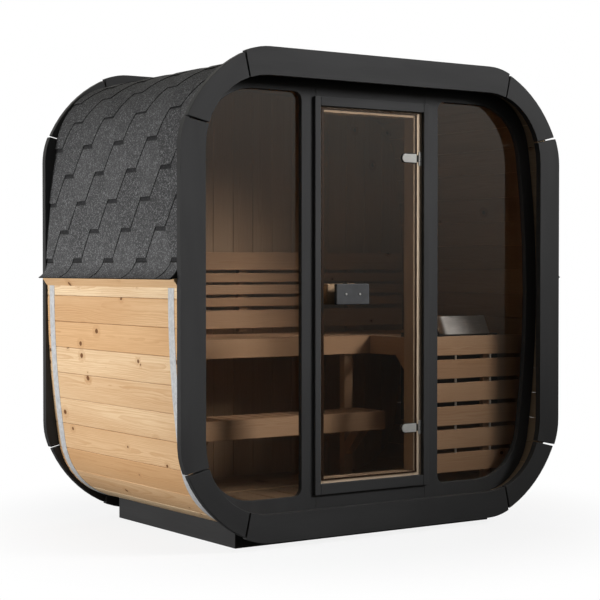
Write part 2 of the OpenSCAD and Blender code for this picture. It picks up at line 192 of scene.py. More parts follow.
def cleanCopy(nodeName, name, edge=0.002, sharp=30, steps=2):
    # the frame's own shape, merged into clean faces and given eased edges
    piece = bpy.data.objects.new(name, nodes[nodeName].data.copy())
    bpy.context.scene.collection.objects.link(piece)
    piece.data.materials.clear()
    openEdit(piece)
    bpy.ops.mesh.remove_doubles(threshold=cleaning["doubles"])
    bpy.ops.mesh.select_all(action="SELECT")
    bpy.ops.mesh.dissolve_limited(angle_limit=math.radians(cleaning["flatAngle"]),
                                  use_dissolve_boundaries=False)
    if edge:
        bpy.ops.mesh.select_mode(type="EDGE")
        bpy.ops.mesh.select_all(action="DESELECT")
        bpy.ops.mesh.edges_select_sharp(sharpness=math.radians(sharp))
        bpy.ops.mesh.bevel(offset=edge, segments=steps, profile=0.5, affect="EDGES", clamp_overlap=True)
    closeEdit()
    return piece


smoothAngle = 35    # degrees; edges sharper than this stay hard


def finishPiece(piece, finishes, body="cabin", stands=()):
    pickOnly(piece)
    bpy.ops.object.shade_smooth_by_angle(angle=math.radians(smoothAngle))
    # keeps broad faces flat beside eased edges
    weights = piece.modifiers.new("weights", "WEIGHTED_NORMAL")
    weights.keep_sharp = True
    bpy.ops.object.modifier_apply(modifier="weights")
    if finishes is not None:
        kept = finishes if isinstance(finishes, (list, tuple)) else [finishes]
        piece.data.materials.clear()
        for finish in kept:
            piece.data.materials.append(finish)
    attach(piece, body)
    if stands:
        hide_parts(*stands)
    return piece


def startFinish(name):
    finish = bpy.data.materials.new(name)
    finish.use_nodes = True
    tree = finish.node_tree
    tree.nodes.clear()
    return finish, tree


def addNode(tree, kind, values=None, **settings):
    made = tree.nodes.new(kind)
    for key, value in settings.items():
        setattr(made, key, value)
    for socket, value in (values or {}).items():
        if isinstance(value, bpy.types.NodeSocket):
            tree.links.new(value, made.inputs[socket])
        else:
            made.inputs[socket].default_value = value
    return made


def doMath(tree, operation, first, second=None):
    values = {0: first} if second is None else {0: first, 1: second}
    return addNode(tree, "ShaderNodeMath", values, operation=operation).outputs[0]


def fadeBetween(tree, value, start, end, low=0.0, high=1.0):
    spread = {"Value": value, "From Min": start, "From Max": end, "To Min": low, "To Max": high}
    return addNode(tree, "ShaderNodeMapRange", spread, interpolation_type="SMOOTHSTEP").outputs["Result"]


def blendColours(tree, share, first, second):
    # inputs 6 and 7 of the node are its two colours, output 2 the blended one
    made = addNode(tree, "ShaderNodeMix", data_type="RGBA")
    for index, value in ((0, share), (6, first), (7, second)):
        if isinstance(value, bpy.types.NodeSocket):
            tree.links.new(value, made.inputs[index])
        else:
            made.inputs[index].default_value = value
    return made.outputs[2]


def stretched(tree, vector, scale):
    return addNode(tree, "ShaderNodeVectorMath", {0: vector, 1: scale}, operation="MULTIPLY").outputs[0]


def noiseOn(tree, vector, scale, detail=2.0, rough=0.5):
    values = {"Vector": stretched(tree, vector, scale), "Scale": 1.0, "Detail": detail, "Roughness": rough}
    return addNode(tree, "ShaderNodeTexNoise", values).outputs[0]


def endFinish(tree, values, bump):
    # bump is a list of (height, strength, distance), laid one over another
    for height, strength, distance in bump:
        settings = {"Height": height, "Strength": strength, "Distance": distance}
        if "Normal" in values:
            settings["Normal"] = values["Normal"]
        values["Normal"] = addNode(tree, "ShaderNodeBump", settings).outputs[0]
    shader = addNode(tree, "ShaderNodeBsdfPrincipled", values)
    addNode(tree, "ShaderNodeOutputMaterial", {"Surface": shader.outputs[0]})


# how often each pattern repeats in a metre: along, across and through a board, or on the three axes
timberScale = {"wobble": (60, 60, 60), "drift": (0.9, 6, 6), "ripple": (7, 40, 40), "patch": (1.7, 14, 14),
               "fibre": (5, 330, 330), "cloud": (1.1, 7, 7)}
paintScale = {"fibre": (6, 260, 260), "cloud": (2.2, 11, 11), "speck": (900, 900, 900)}
glassScale = {"smear": (3, 3, 3), "wave": (1.6, 1.6, 1.6)}
shingleScale = {"grit": (330, 330, 90), "bed": (240, 240, 90), "patch": (26, 26, 26)}
steelCloud = (14, 14, 14)


def timberFinish(name, look):
    finish, tree = startFinish(name)
    grain = addNode(tree, "ShaderNodeAttribute", attribute_name="grain").outputs["Vector"]
    tone = addNode(tree, "ShaderNodeAttribute", attribute_name="tone").outputs["Fac"]
    split = addNode(tree, "ShaderNodeSeparateXYZ", {0: grain})

    # knots: a loose scatter of round cores, each with its own size
    cells = look["knotCells"]
    spread = stretched(tree, grain, (cells * 0.8, cells, 0))
    scatter = addNode(tree, "ShaderNodeTexVoronoi", {"Vector": spread, "Scale": 1.0, "Randomness": 1.0},
                      voronoi_dimensions="2D", feature="F1")
    luck = addNode(tree, "ShaderNodeSeparateColor", {0: scatter.outputs["Color"]})
    wobble = noiseOn(tree, grain, timberScale["wobble"], detail=1.0)
    gap = doMath(tree, "ADD", doMath(tree, "DIVIDE", scatter.outputs["Distance"], cells),
                 doMath(tree, "MULTIPLY", doMath(tree, "SUBTRACT", wobble, 0.5), 0.004))
    size = fadeBetween(tree, luck.outputs[0], look["knotRarity"], 1.0)
    size = doMath(tree, "MULTIPLY", size, look["knotSize"])
    core = fadeBetween(tree, doMath(tree, "SUBTRACT", gap, size), 0.0015, -0.0015)
    reach = doMath(tree, "MULTIPLY", size, 2.6)    # the darkened ring round a knot
    halo = fadeBetween(tree, doMath(tree, "SUBTRACT", gap, reach), 0.008, -0.004)
    halo = doMath(tree, "MULTIPLY", halo, fadeBetween(tree, size, 0.0005, 0.002))

    # growth lines: rings about the heart of the log, drawn out along the board and pushed round the knots
    drift = noiseOn(tree, grain, timberScale["drift"], detail=2.0)
    ripple = noiseOn(tree, grain, timberScale["ripple"], detail=2.0)
    push = doMath(tree, "MULTIPLY", halo, look["knotPush"])
    bend = doMath(tree, "ADD", doMath(tree, "MULTIPLY", doMath(tree, "SUBTRACT", drift, 0.5), look["drift"]),
                  doMath(tree, "MULTIPLY", doMath(tree, "SUBTRACT", ripple, 0.5), look["ripple"]))
    bend = doMath(tree, "ADD", bend, push)
    across = doMath(tree, "ADD", split.outputs[1], bend)
    through = doMath(tree, "ADD", split.outputs[2], doMath(tree, "MULTIPLY", bend, 0.7))
    radius = doMath(tree, "SQRT", doMath(tree, "ADD", doMath(tree, "MULTIPLY", across, across),
                                         doMath(tree, "MULTIPLY", through, through)))
    years = doMath(tree, "DIVIDE", radius, look["ringGap"])
    part = doMath(tree, "FRACT", years)
    late = doMath(tree, "MULTIPLY", fadeBetween(tree, part, 0.35, 0.9), fadeBetween(tree, part, 1.0, 0.92))
    patchy = noiseOn(tree, grain, timberScale["patch"], detail=2.0)
    late = doMath(tree, "MULTIPLY", late, fadeBetween(tree, patchy, 0.25, 0.75, 0.35, 1.0))

    fibre = noiseOn(tree, grain, timberScale["fibre"], detail=3.0, rough=0.6)
    cloud = noiseOn(tree, grain, timberScale["cloud"], detail=1.0)

    base = blendColours(tree, tone, look["paleColour"], look["deepColour"])
    clouded = fadeBetween(tree, cloud, 0.3, 0.75, 0.0, look["cloud"])
    base = blendColours(tree, clouded, base, look["lateColour"])
    base = blendColours(tree, doMath(tree, "MULTIPLY", late, look["lateShare"]), base, look["lateColour"])
    streaked = fadeBetween(tree, fibre, 0.35, 0.75, 0.0, look["fibre"])
    base = blendColours(tree, streaked, base, look["lateColour"])
    base = blendColours(tree, doMath(tree, "MULTIPLY", halo, look["haloShare"]), base, look["haloColour"])
    base = blendColours(tree, core, base, look["knotColour"])
    rough = fadeBetween(tree, fibre, 0.3, 0.7, look["rough"] - 0.06, look["rough"] + 0.06)
    endFinish(tree, {"Base Color": base, "Roughness": rough, "Specular IOR Level": look["sheen"]},
              bump=[(fibre, 0.25, 0.0006), (late, 0.2, 0.0008)])
    return finish


def paintFinish(name, look):
    finish, tree = startFinish(name)
    grain = addNode(tree, "ShaderNodeAttribute", attribute_name="grain").outputs["Vector"]
    tone = addNode(tree, "ShaderNodeAttribute", attribute_name="tone").outputs["Fac"]
    fibre = noiseOn(tree, grain, paintScale["fibre"], detail=3.0, rough=0.65)
    cloud = noiseOn(tree, grain, paintScale["cloud"], detail=3.0)
    speck = noiseOn(tree, grain, paintScale["speck"], detail=1.0)
    base = blendColours(tree, tone, look["darkCoat"], look["paleCoat"])
    clouded = fadeBetween(tree, cloud, 0.3, 0.7, 0.0, look["cloud"])
    base = blendColours(tree, clouded, base, look["wornCoat"])
    streaked = fadeBetween(tree, fibre, 0.45, 0.8, 0.0, look["fibre"])
    base = blendColours(tree, streaked, base, look["wornCoat"])
    rough = fadeBetween(tree, fibre, 0.3, 0.7, look["rough"] - 0.07, look["rough"] + 0.07)
    endFinish(tree, {"Base Color": base, "Roughness": rough, "Specular IOR Level": look["sheen"]},
              bump=[(fibre, 0.22, 0.0006), (speck, 0.08, 0.0003)])
    return finish


def steelFinish(name, look):
    finish, tree = startFinish(name)
    place = addNode(tree, "ShaderNodeTexCoord").outputs["Object"]
    brush = noiseOn(tree, place, look["brushScale"], detail=3.0, rough=0.6)
    cloud = noiseOn(tree, place, steelCloud, detail=3.0)
    base = blendColours(tree, fadeBetween(tree, brush, 0.3, 0.7), look["darkSteel"], look["paleSteel"])
    dulled = fadeBetween(tree, cloud, 0.45, 0.75, 0.0, look["dull"])
    base = blendColours(tree, dulled, base, look["dullSteel"])
    rough = fadeBetween(tree, brush, 0.3, 0.7, look["rough"] - 0.07, look["rough"] + 0.07)
    rough = doMath(tree, "ADD", rough, fadeBetween(tree, cloud, 0.4, 0.8, 0.0, 0.12))
    endFinish(tree, {"Base Color": base, "Roughness": rough, "Metallic": look["metal"]},
              bump=[(brush, 0.15, 0.0003)])
    return finish


def mattFinish(name, look):
    # rubber, enamel, handle coat and cut bitumen: a broken colour with a fine rough skin
    finish, tree = startFinish(name)
    place = addNode(tree, "ShaderNodeTexCoord").outputs["Object"]
    speck = noiseOn(tree, place, (look["speck"],) * 3, detail=3.0, rough=0.6)
    cloud = noiseOn(tree, place, (look["patch"],) * 3, detail=3.0)
    base = blendColours(tree, fadeBetween(tree, speck, 0.3, 0.7), look["dark"], look["pale"])
    base = blendColours(tree, fadeBetween(tree, cloud, 0.4, 0.75, 0.0, 0.5), base, look["worn"])
    rough = fadeBetween(tree, cloud, 0.3, 0.7, look["rough"] - 0.08, look["rough"] + 0.08)
    endFinish(tree, {"Base Color": base, "Roughness": rough, "Specular IOR Level": look["sheen"]},
              bump=[(speck, look["bump"], 0.0005)])
    return finish


def glassFinish(name, look):
    finish, tree = startFinish(name)
    place = addNode(tree, "ShaderNodeTexCoord").outputs["Object"]
    smear = noiseOn(tree, place, glassScale["smear"], detail=3.0)
    wave = noiseOn(tree, place, glassScale["wave"], detail=1.0)
    tint = blendColours(tree, fadeBetween(tree, smear, 0.3, 0.7), look["tintDeep"], look["tintPale"])
    settings = {"Height": wave, "Strength": 0.04, "Distance": 0.001}
    ripple = addNode(tree, "ShaderNodeBump", settings).outputs[0]
    clear = addNode(tree, "ShaderNodeBsdfTransparent", {"Color": tint})
    rough = fadeBetween(tree, smear, 0.4, 0.8, 0.0, look["film"])
    gloss = addNode(tree, "ShaderNodeBsdfGlossy", {"Roughness": rough, "Normal": ripple})
    share = addNode(tree, "ShaderNodeFresnel", {"IOR": look["bend"], "Normal": ripple}).outputs[0]
    outside = doMath(tree, "SUBTRACT", 1, addNode(tree, "ShaderNodeNewGeometry").outputs["Backfacing"])
    share = doMath(tree, "MULTIPLY", doMath(tree, "MULTIPLY", share, outside), look["shine"])
    mixed = addNode(tree, "ShaderNodeMixShader", {0: share, 1: clear.outputs[0], 2: gloss.outputs[0]})
    addNode(tree, "ShaderNodeOutputMaterial", {"Surface": mixed.outputs[0]})
    return finish


def shingleFinish(name, look):
    finish, tree = startFinish(name)
    sheet = addNode(tree, "ShaderNodeAttribute", attribute_name="grain").outputs["Vector"]
    tone = addNode(tree, "ShaderNodeAttribute", attribute_name="tone").outputs["Fac"]
    split = addNode(tree, "ShaderNodeSeparateXYZ", {0: sheet})
    grit = noiseOn(tree, sheet, shingleScale["grit"], detail=3.0, rough=0.8)
    spread = stretched(tree, sheet, shingleScale["bed"])
    bed = addNode(tree, "ShaderNodeTexVoronoi", {"Vector": spread, "Scale": 1.0})
    luck = addNode(tree, "ShaderNodeSeparateColor", {0: bed.outputs["Color"]}).outputs[0]
    patchy = noiseOn(tree, sheet, shingleScale["patch"], detail=3.0)
    shadowBand = fadeBetween(tree, split.outputs[1], look["bandStart"] - 0.003, look["bandStart"] + 0.003)
    base = blendColours(tree, tone, look["darkGrit"], look["paleGrit"])
    speckled = fadeBetween(tree, luck, 0.55, 1.0, 0.0, look["speckle"])
    base = blendColours(tree, speckled, base, look["brightGrit"])
    pitted = fadeBetween(tree, grit, 0.5, 0.75, 0.0, look["pits"])
    base = blendColours(tree, pitted, base, look["tar"])
    darkened = fadeBetween(tree, patchy, 0.4, 0.75, 0.0, look["patch"])
    base = blendColours(tree, darkened, base, look["darkGrit"])
    base = blendColours(tree, doMath(tree, "MULTIPLY", shadowBand, look["bandShare"]), base, look["tar"])
    endFinish(tree, {"Base Color": base, "Roughness": 0.95, "Specular IOR Level": 0.25},
              bump=[(luck, 0.35, 0.0012), (grit, 0.3, 0.0008)])
    return finish


spruce = timberFinish("spruce staves", {
    "paleColour": (0.91, 0.74, 0.50, 1), "deepColour": (0.70, 0.43, 0.22, 1),
    "lateColour": (0.50, 0.26, 0.11, 1), "haloColour": (0.42, 0.20, 0.08, 1),
    "knotColour": (0.17, 0.075, 0.030, 1), "knotCells": 7.5, "knotRarity": 0.52, "knotSize": 0.011,
    "knotPush": 0.010, "drift": 0.040, "ripple": 0.006, "ringGap": 0.0042, "cloud": 0.40,
    "lateShare": 0.50, "fibre": 0.38, "haloShare": 0.22, "rough": 0.62, "sheen": 0.25})
benchTimber = timberFinish("warm bench timber", {
    "paleColour": (0.63, 0.453, 0.305, 1), "deepColour": (0.525, 0.358, 0.229, 1),
    "lateColour": (0.39, 0.233, 0.133, 1), "haloColour": (0.30, 0.13, 0.05, 1),
    "knotColour": (0.06, 0.022, 0.01, 1), "knotCells": 5.0, "knotRarity": 0.78, "knotSize": 0.008,
    "knotPush": 0.008, "drift": 0.045, "ripple": 0.005, "ringGap": 0.0036, "cloud": 0.25,
    "lateShare": 0.40, "fibre": 0.25, "haloShare": 0.5, "rough": 0.55, "sheen": 0.3})
wallTimber = timberFinish("back wall timber", {
    "paleColour": (0.60, 0.46, 0.33, 1), "deepColour": (0.49, 0.36, 0.25, 1),
    "lateColour": (0.35, 0.23, 0.14, 1), "haloColour": (0.26, 0.12, 0.05, 1),
    "knotColour": (0.05, 0.02, 0.01, 1), "knotCells": 6.5, "knotRarity": 0.93, "knotSize": 0.010,
    "knotPush": 0.009, "drift": 0.045, "ripple": 0.005, "ringGap": 0.0042, "cloud": 0.25,
    "lateShare": 0.36, "fibre": 0.22, "haloShare": 0.5, "rough": 0.6, "sheen": 0.25})
# a darker copy of the timber for the cabin's inside: partly darker wood, partly painted shade where little
# light reaches
roomTimberAndShade = timberFinish("room side timber with painted shade", {
    "paleColour": (0.40, 0.30, 0.20, 1), "deepColour": (0.32, 0.23, 0.15, 1),
    "lateColour": (0.23, 0.14, 0.08, 1), "haloColour": (0.16, 0.07, 0.03, 1),
    "knotColour": (0.035, 0.014, 0.007, 1), "knotCells": 7.0, "knotRarity": 0.82, "knotSize": 0.009,
    "knotPush": 0.009, "drift": 0.045, "ripple": 0.005, "ringGap": 0.0042, "cloud": 0.25,
    "lateShare": 0.34, "fibre": 0.22, "haloShare": 0.5, "rough": 0.6, "sheen": 0.2})
stopTimber = timberFinish("bare door stop timber", {
    "paleColour": (0.64, 0.53, 0.41, 1), "deepColour": (0.54, 0.42, 0.30, 1),
    "lateColour": (0.38, 0.25, 0.15, 1), "haloColour": (0.38, 0.18, 0.07, 1),
    "knotColour": (0.08, 0.03, 0.014, 1), "knotCells": 4.0, "knotRarity": 0.7, "knotSize": 0.006,
    "knotPush": 0.006, "drift": 0.03, "ripple": 0.004, "ringGap": 0.0032, "cloud": 0.25,
    "lateShare": 0.36, "fibre": 0.25, "haloShare": 0.4, "rough": 0.55, "sheen": 0.3})
greyPaint = paintFinish("charcoal paint", {
    "darkCoat": (0.032, 0.032, 0.033, 1), "paleCoat": (0.040, 0.040, 0.041, 1),
    "wornCoat": (0.056, 0.056, 0.057, 1), "cloud": 0.35, "fibre": 0.35, "rough": 0.6, "sheen": 0.22})
wallPaint = paintFinish("wall paint", {
    "darkCoat": (0.032, 0.032, 0.033, 1), "paleCoat": (0.039, 0.039, 0.040, 1),
    "wornCoat": (0.054, 0.054, 0.055, 1), "cloud": 0.3, "fibre": 0.3, "rough": 0.6, "sheen": 0.22})
shingleTop = shingleFinish("shingle grit", {
    "darkGrit": (0.062, 0.062, 0.063, 1), "paleGrit": (0.092, 0.092, 0.093, 1),
    "brightGrit": (0.25, 0.25, 0.255, 1), "tar": (0.016, 0.016, 0.017, 1), "speckle": 0.85, "pits": 0.75,
    "patch": 0.4, "bandStart": 0.236, "bandShare": 0.8})
shingleEdge = mattFinish("shingle cut edge", {
    "dark": (0.006, 0.006, 0.006, 1), "pale": (0.014, 0.014, 0.014, 1), "worn": (0.022, 0.022, 0.022, 1),
    "speck": 420, "patch": 30, "rough": 0.8, "sheen": 0.2, "bump": 0.4})
rubber = mattFinish("black rubber", {
    "dark": (0.010, 0.010, 0.010, 1), "pale": (0.018, 0.018, 0.018, 1), "worn": (0.030, 0.030, 0.030, 1),
    "speck": 900, "patch": 40, "rough": 0.7, "sheen": 0.25, "bump": 0.2})
handleCoat = mattFinish("handle coat", {
    "dark": (0.040, 0.041, 0.044, 1), "pale": (0.054, 0.055, 0.058, 1), "worn": (0.075, 0.076, 0.080, 1),
    "speck": 1300, "patch": 25, "rough": 0.45, "sheen": 0.5, "bump": 0.12})
heaterCoat = mattFinish("heater enamel", {
    "dark": (0.012, 0.012, 0.013, 1), "pale": (0.020, 0.020, 0.021, 1), "worn": (0.032, 0.032, 0.033, 1),
    "speck": 800, "patch": 18, "rough": 0.45, "sheen": 0.5, "bump": 0.15})
# dark brown seal strip whose colour is painted shade: it stands for the shaded groove of the stop beside the
# door glass
sealAndGrooveShade = mattFinish("brown door seal and painted groove shade", {
    "dark": (0.022, 0.009, 0.004, 1), "pale": (0.036, 0.015, 0.006, 1), "worn": (0.060, 0.030, 0.014, 1),
    "speck": 900, "patch": 40, "rough": 0.7, "sheen": 0.25, "bump": 0.2})
galvanised = steelFinish("galvanised strap", {
    "darkSteel": (0.62, 0.63, 0.65, 1), "paleSteel": (0.80, 0.81, 0.82, 1),
    "dullSteel": (0.54, 0.55, 0.56, 1), "brushScale": (60, 60, 60), "dull": 0.4, "rough": 0.5,
    "metal": 0.3})
satinSteel = steelFinish("satin hinge steel", {
    "darkSteel": (0.62, 0.62, 0.62, 1), "paleSteel": (0.76, 0.76, 0.75, 1),
    "dullSteel": (0.52, 0.52, 0.52, 1), "brushScale": (30, 500, 500), "dull": 0.25, "rough": 0.34,
    "metal": 0.75})
brushedSteel = steelFinish("brushed collar steel", {
    "darkSteel": (0.62, 0.66, 0.70, 1), "paleSteel": (0.84, 0.88, 0.92, 1),
    "dullSteel": (0.50, 0.53, 0.56, 1), "brushScale": (16, 620, 620), "dull": 0.35, "rough": 0.36,
    "metal": 0.15})
tintedGlass = glassFinish("tinted glass", {
    "tintDeep": (0.875, 0.843, 0.812, 1), "tintPale": (0.893, 0.862, 0.835, 1), "film": 0.05, "bend": 1.5,
    "shine": 2.0})
print("finishes ready")


# the tube: four bulging sides joined by round corners, the places of everything laid on it
tube = {"bulgeRadius": 4.4, "cornerRadius": 0.327}
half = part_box("shell_right")[1].x
centreZ = (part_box("shell_right")[0].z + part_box("shell_right")[1].z) / 2
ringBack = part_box("front_fascia_boards")[1].y
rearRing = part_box("rear_fascia_boards")[0].y
bulgeCentre = tube["bulgeRadius"] - half
cornerReach = tube["bulgeRadius"] - tube["cornerRadius"]
cornerPlace = (math.sqrt(2 * cornerReach ** 2 - bulgeCentre ** 2) - bulgeCentre) / 2
bulgeAngle = math.atan2(cornerPlace, bulgeCentre + cornerPlace)
bulgeArc = bulgeAngle * tube["bulgeRadius"]
quarterArc = 2 * bulgeArc + tube["cornerRadius"] * (math.pi / 2 - 2 * bulgeAngle)


def tubePoint(along, lift=0.0):
    # along runs round the outside from the middle of the right side, upwards first
    along += bulgeArc
    turns = math.floor(along / quarterArc)
    along -= turns * quarterArc
    if along < 2 * bulgeArc:
        angle = along / tube["bulgeRadius"] - bulgeAngle
        x = (tube["bulgeRadius"] + lift) * math.cos(angle) - bulgeCentre
        z = (tube["bulgeRadius"] + lift) * math.sin(angle)
    else:
        angle = bulgeAngle + (along - 2 * bulgeArc) / tube["cornerRadius"]
        x = cornerPlace + (tube["cornerRadius"] + lift) * math.cos(angle)
        z = cornerPlace + (tube["cornerRadius"] + lift) * math.sin(angle)
    for _ in range(turns % 4):
        x, z = -z, x
    return x, z + centreZ


stave = {"pitch": 0.1178, "seam": -0.0118, "thick": 0.042, "joint": 0.0005, "edge": 0.003, "bends": 4,
         "roomFacing": 0.4}


def addStave(width):
    # a flat stave: x round the tube, y along it, z outwards from the outer face
    length = rearRing - ringBack
    board = addBlock("stave", (width / 2, 0, -stave["thick"] / 2),
                     (width - stave["joint"], length, stave["thick"]))
    pickParts(board, "edges", lambda e: abs(edgeSpan(board.data, e).y) > length / 2)
    bpy.ops.mesh.bevel(offset=stave["edge"], segments=2, profile=0.4, affect="EDGES")
    for bend in range(1, stave["bends"]):
        bpy.ops.mesh.select_all(action="SELECT")
        bpy.ops.mesh.bisect(plane_co=(width * bend / stave["bends"], 0, 0), plane_no=(1, 0, 0))
    closeEdit()
    return board


# whole staves run up and down from one seam on each side
# the ones that close the top and bottom are ripped to fit
wholeStaves = int((quarterArc + stave["seam"]) / stave["pitch"])
layout = []
for side in (-1, 1):
    middle = quarterArc - side * quarterArc
    seam = middle + side * stave["seam"]
    for number in range(-wholeStaves, wholeStaves):
        layout.append((seam + number * stave["pitch"], stave["pitch"]))
topGap = quarterArc - (stave["seam"] + wholeStaves * stave["pitch"])
lowGap = quarterArc - (wholeStaves * stave["pitch"] - stave["seam"])
layout += [(quarterArc - topGap, topGap), (quarterArc, topGap), (-quarterArc - lowGap, 2 * lowGap)]

staveNodes = {"left": ("left_staves", "shell_left"), "right": ("right_staves", "shell_right"),
              "floor": ("floor_staves", "shell_floor"), "roof": ("roof_staves", "shell_roof"),
              "lowerCorner": ("lower_corner_staves", "shell_corners_lower"),
              "upperCorner": ("upper_corner_staves", "shell_corners_upper")}
staveGroups = {group: [] for group in staveNodes}
staveSources = {}
for start, width in layout:
    key = round(width, 4)
    if key not in staveSources:
        staveSources[key] = addStave(width)
    board = copyPiece(staveSources[key], "stave")
    putGrain(board, yWay, xWay, zWay)
    for vertex in board.data.vertices:
        x, z = tubePoint(start + vertex.co.x, vertex.co.z)
        vertex.co = Vector((x, vertex.co.y, z))
    x, z = tubePoint(start + width / 2)
    high = z - centreZ
    if abs(high) < cornerPlace and abs(x) > cornerPlace:
        group = "left" if x < 0 else "right"
    elif abs(x) < cornerPlace:
        group = "roof" if high > 0 else "floor"
    else:
        group = "upperCorner" if high > 0 else "lowerCorner"
    staveGroups[group].append(board)
for source in staveSources.values():
    bpy.data.objects.remove(source)
for group, boards in staveGroups.items():
    name, node = staveNodes[group]
    # laying the flat boards round the tube turns them inside out
    laid = turnOutwards(joinPieces(boards, name))
    finishPiece(laid, [spruce, roomTimberAndShade], stands=(node,))
    for face in laid.data.polygons:
        away = Vector((face.center.x, face.center.z - centreZ))
        facing = face.normal.x * away.x + face.normal.z * away.y
        if facing < -stave["roomFacing"] * away.length:
            face.material_index = 1    # the room side takes the darker timber: partly darker wood, partly painted shade for the dim cabin
print("staves laid", len(layout))


shingle = {"pitch": 0.2925, "shortEdge": 0.080, "slant": 0.066, "row": 0.127, "cornerRow": 0.115,
           "straightRows": 5, "firstRow": 0.156, "sheet": 0.27, "thick": 0.003, "lift": 0.009,
           "oddStart": -0.592, "evenStart": -0.446, "drift": -0.0025, "rows": 13, "bendStep": 0.0265,
           "eaveStart": 0.140, "eaveAngle": 1.0472, "eaveRadius": 0.087, "starterLap": 0.020,
           "starterSink": 0.0032, "starterCuts": (12, 16), "starterTone": 0.5, "starterPattern": 7,
           "patternStep": 0.37, "patterns": 400, "trim": 0.0005, "ridgeGap": 0.002,
           "eaveBends": (1.5, 2.5, 3.5, 4.5, 5.5), "wedgeReach": 0.002, "wedgeGap": 0.0012}
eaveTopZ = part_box("drip_edges")[1].z
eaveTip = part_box("drip_edges")[1].x
eaveEnd = shingle["eaveStart"] - shingle["eaveRadius"] * shingle["eaveAngle"]
eaveCentreX = eaveTip + (shingle["eaveRadius"] - shingle["lift"]) * math.cos(shingle["eaveAngle"])


def roofPoint(side, along, lift):
    # along runs up from the middle of either side; below the eave start the deck flares outwards
    if along >= shingle["eaveStart"]:
        x, z = tubePoint(along, lift)
        return side * x, z
    angle = (shingle["eaveStart"] - along) / shingle["eaveRadius"]
    near = tubePoint(shingle["eaveStart"], 0)[0] - (eaveCentreX - shingle["eaveRadius"])
    share = 1 - angle / shingle["eaveAngle"]
    x = eaveCentreX - (shingle["eaveRadius"] - lift) * math.cos(angle) + near * share
    return side * x, eaveTopZ - (shingle["eaveRadius"] - lift) * math.sin(angle)


def sheetLift(up):
    return shingle["lift"] * (1 - 2 / 3 * up / (2 * shingle["row"]))


def layOnRoof(piece, side, start, depth, level, number, slide=0, sink=0):
    # a flat sheet (x along the depth, y up the slope, z its thickness) is laid on the roof
    mesh = piece.data
    grain, shade = boardLayers(mesh)
    for index, vertex in enumerate(mesh.vertices):
        flat = vertex.co.copy()
        grain.data[index].vector = (flat.x, flat.y + slide, number * shingle["patternStep"])
        shade.data[index].value = level
        lift = sheetLift(max(flat.y, 0)) - shingle["thick"] - sink + flat.z
        x, z = roofPoint(side, start + flat.y, lift)
        vertex.co = Vector((x, depth + flat.x, z))
    if side < 0:
        mesh.flip_normals()


def cutFlat(piece, place, way):
    openEdit(piece)
    bpy.ops.mesh.bisect(plane_co=place, plane_no=way, use_fill=True, clear_outer=True)
    closeEdit()


def coatShingle(piece, thick, side):
    # grit on the faces, bare bitumen on the cut edges
    piece.data.materials.append(shingleTop)
    piece.data.materials.append(shingleEdge)
    thicken(piece, thick, side, rimFinish=1)


tabSize = (shingle["pitch"], shingle["sheet"])
shingleTab = addSheet("shingle_tab", tabSize, (1, 1), (0, shingle["sheet"] / 2, 0))
openEdit(shingleTab)
for side in (-1, 1):
    bpy.ops.mesh.select_all(action="SELECT")
    bpy.ops.mesh.bisect(plane_co=(side * shingle["shortEdge"] / 2, 0, 0),
                        plane_no=(shingle["row"], -side * shingle["slant"], 0))
bpy.ops.mesh.select_all(action="SELECT")
bpy.ops.mesh.bisect(plane_co=(0, shingle["row"], 0), plane_no=(0, 1, 0))
closeEdit()


def outsideTab(face):
    middle = face.center
    edge = shingle["shortEdge"] / 2 + shingle["slant"] * middle.y / shingle["row"]
    return middle.y < shingle["row"] and abs(middle.x) > edge


pickParts(shingleTab, "polygons", outsideTab)
bpy.ops.mesh.delete(type="FACE")
for bendIndex in range(1, int(shingle["sheet"] / shingle["bendStep"]) + 1):
    bpy.ops.mesh.select_all(action="SELECT")
    bpy.ops.mesh.bisect(plane_co=(0, bendIndex * shingle["bendStep"], 0), plane_no=(0, 1, 0))
closeEdit()
coatShingle(shingleTab, shingle["thick"], 1)

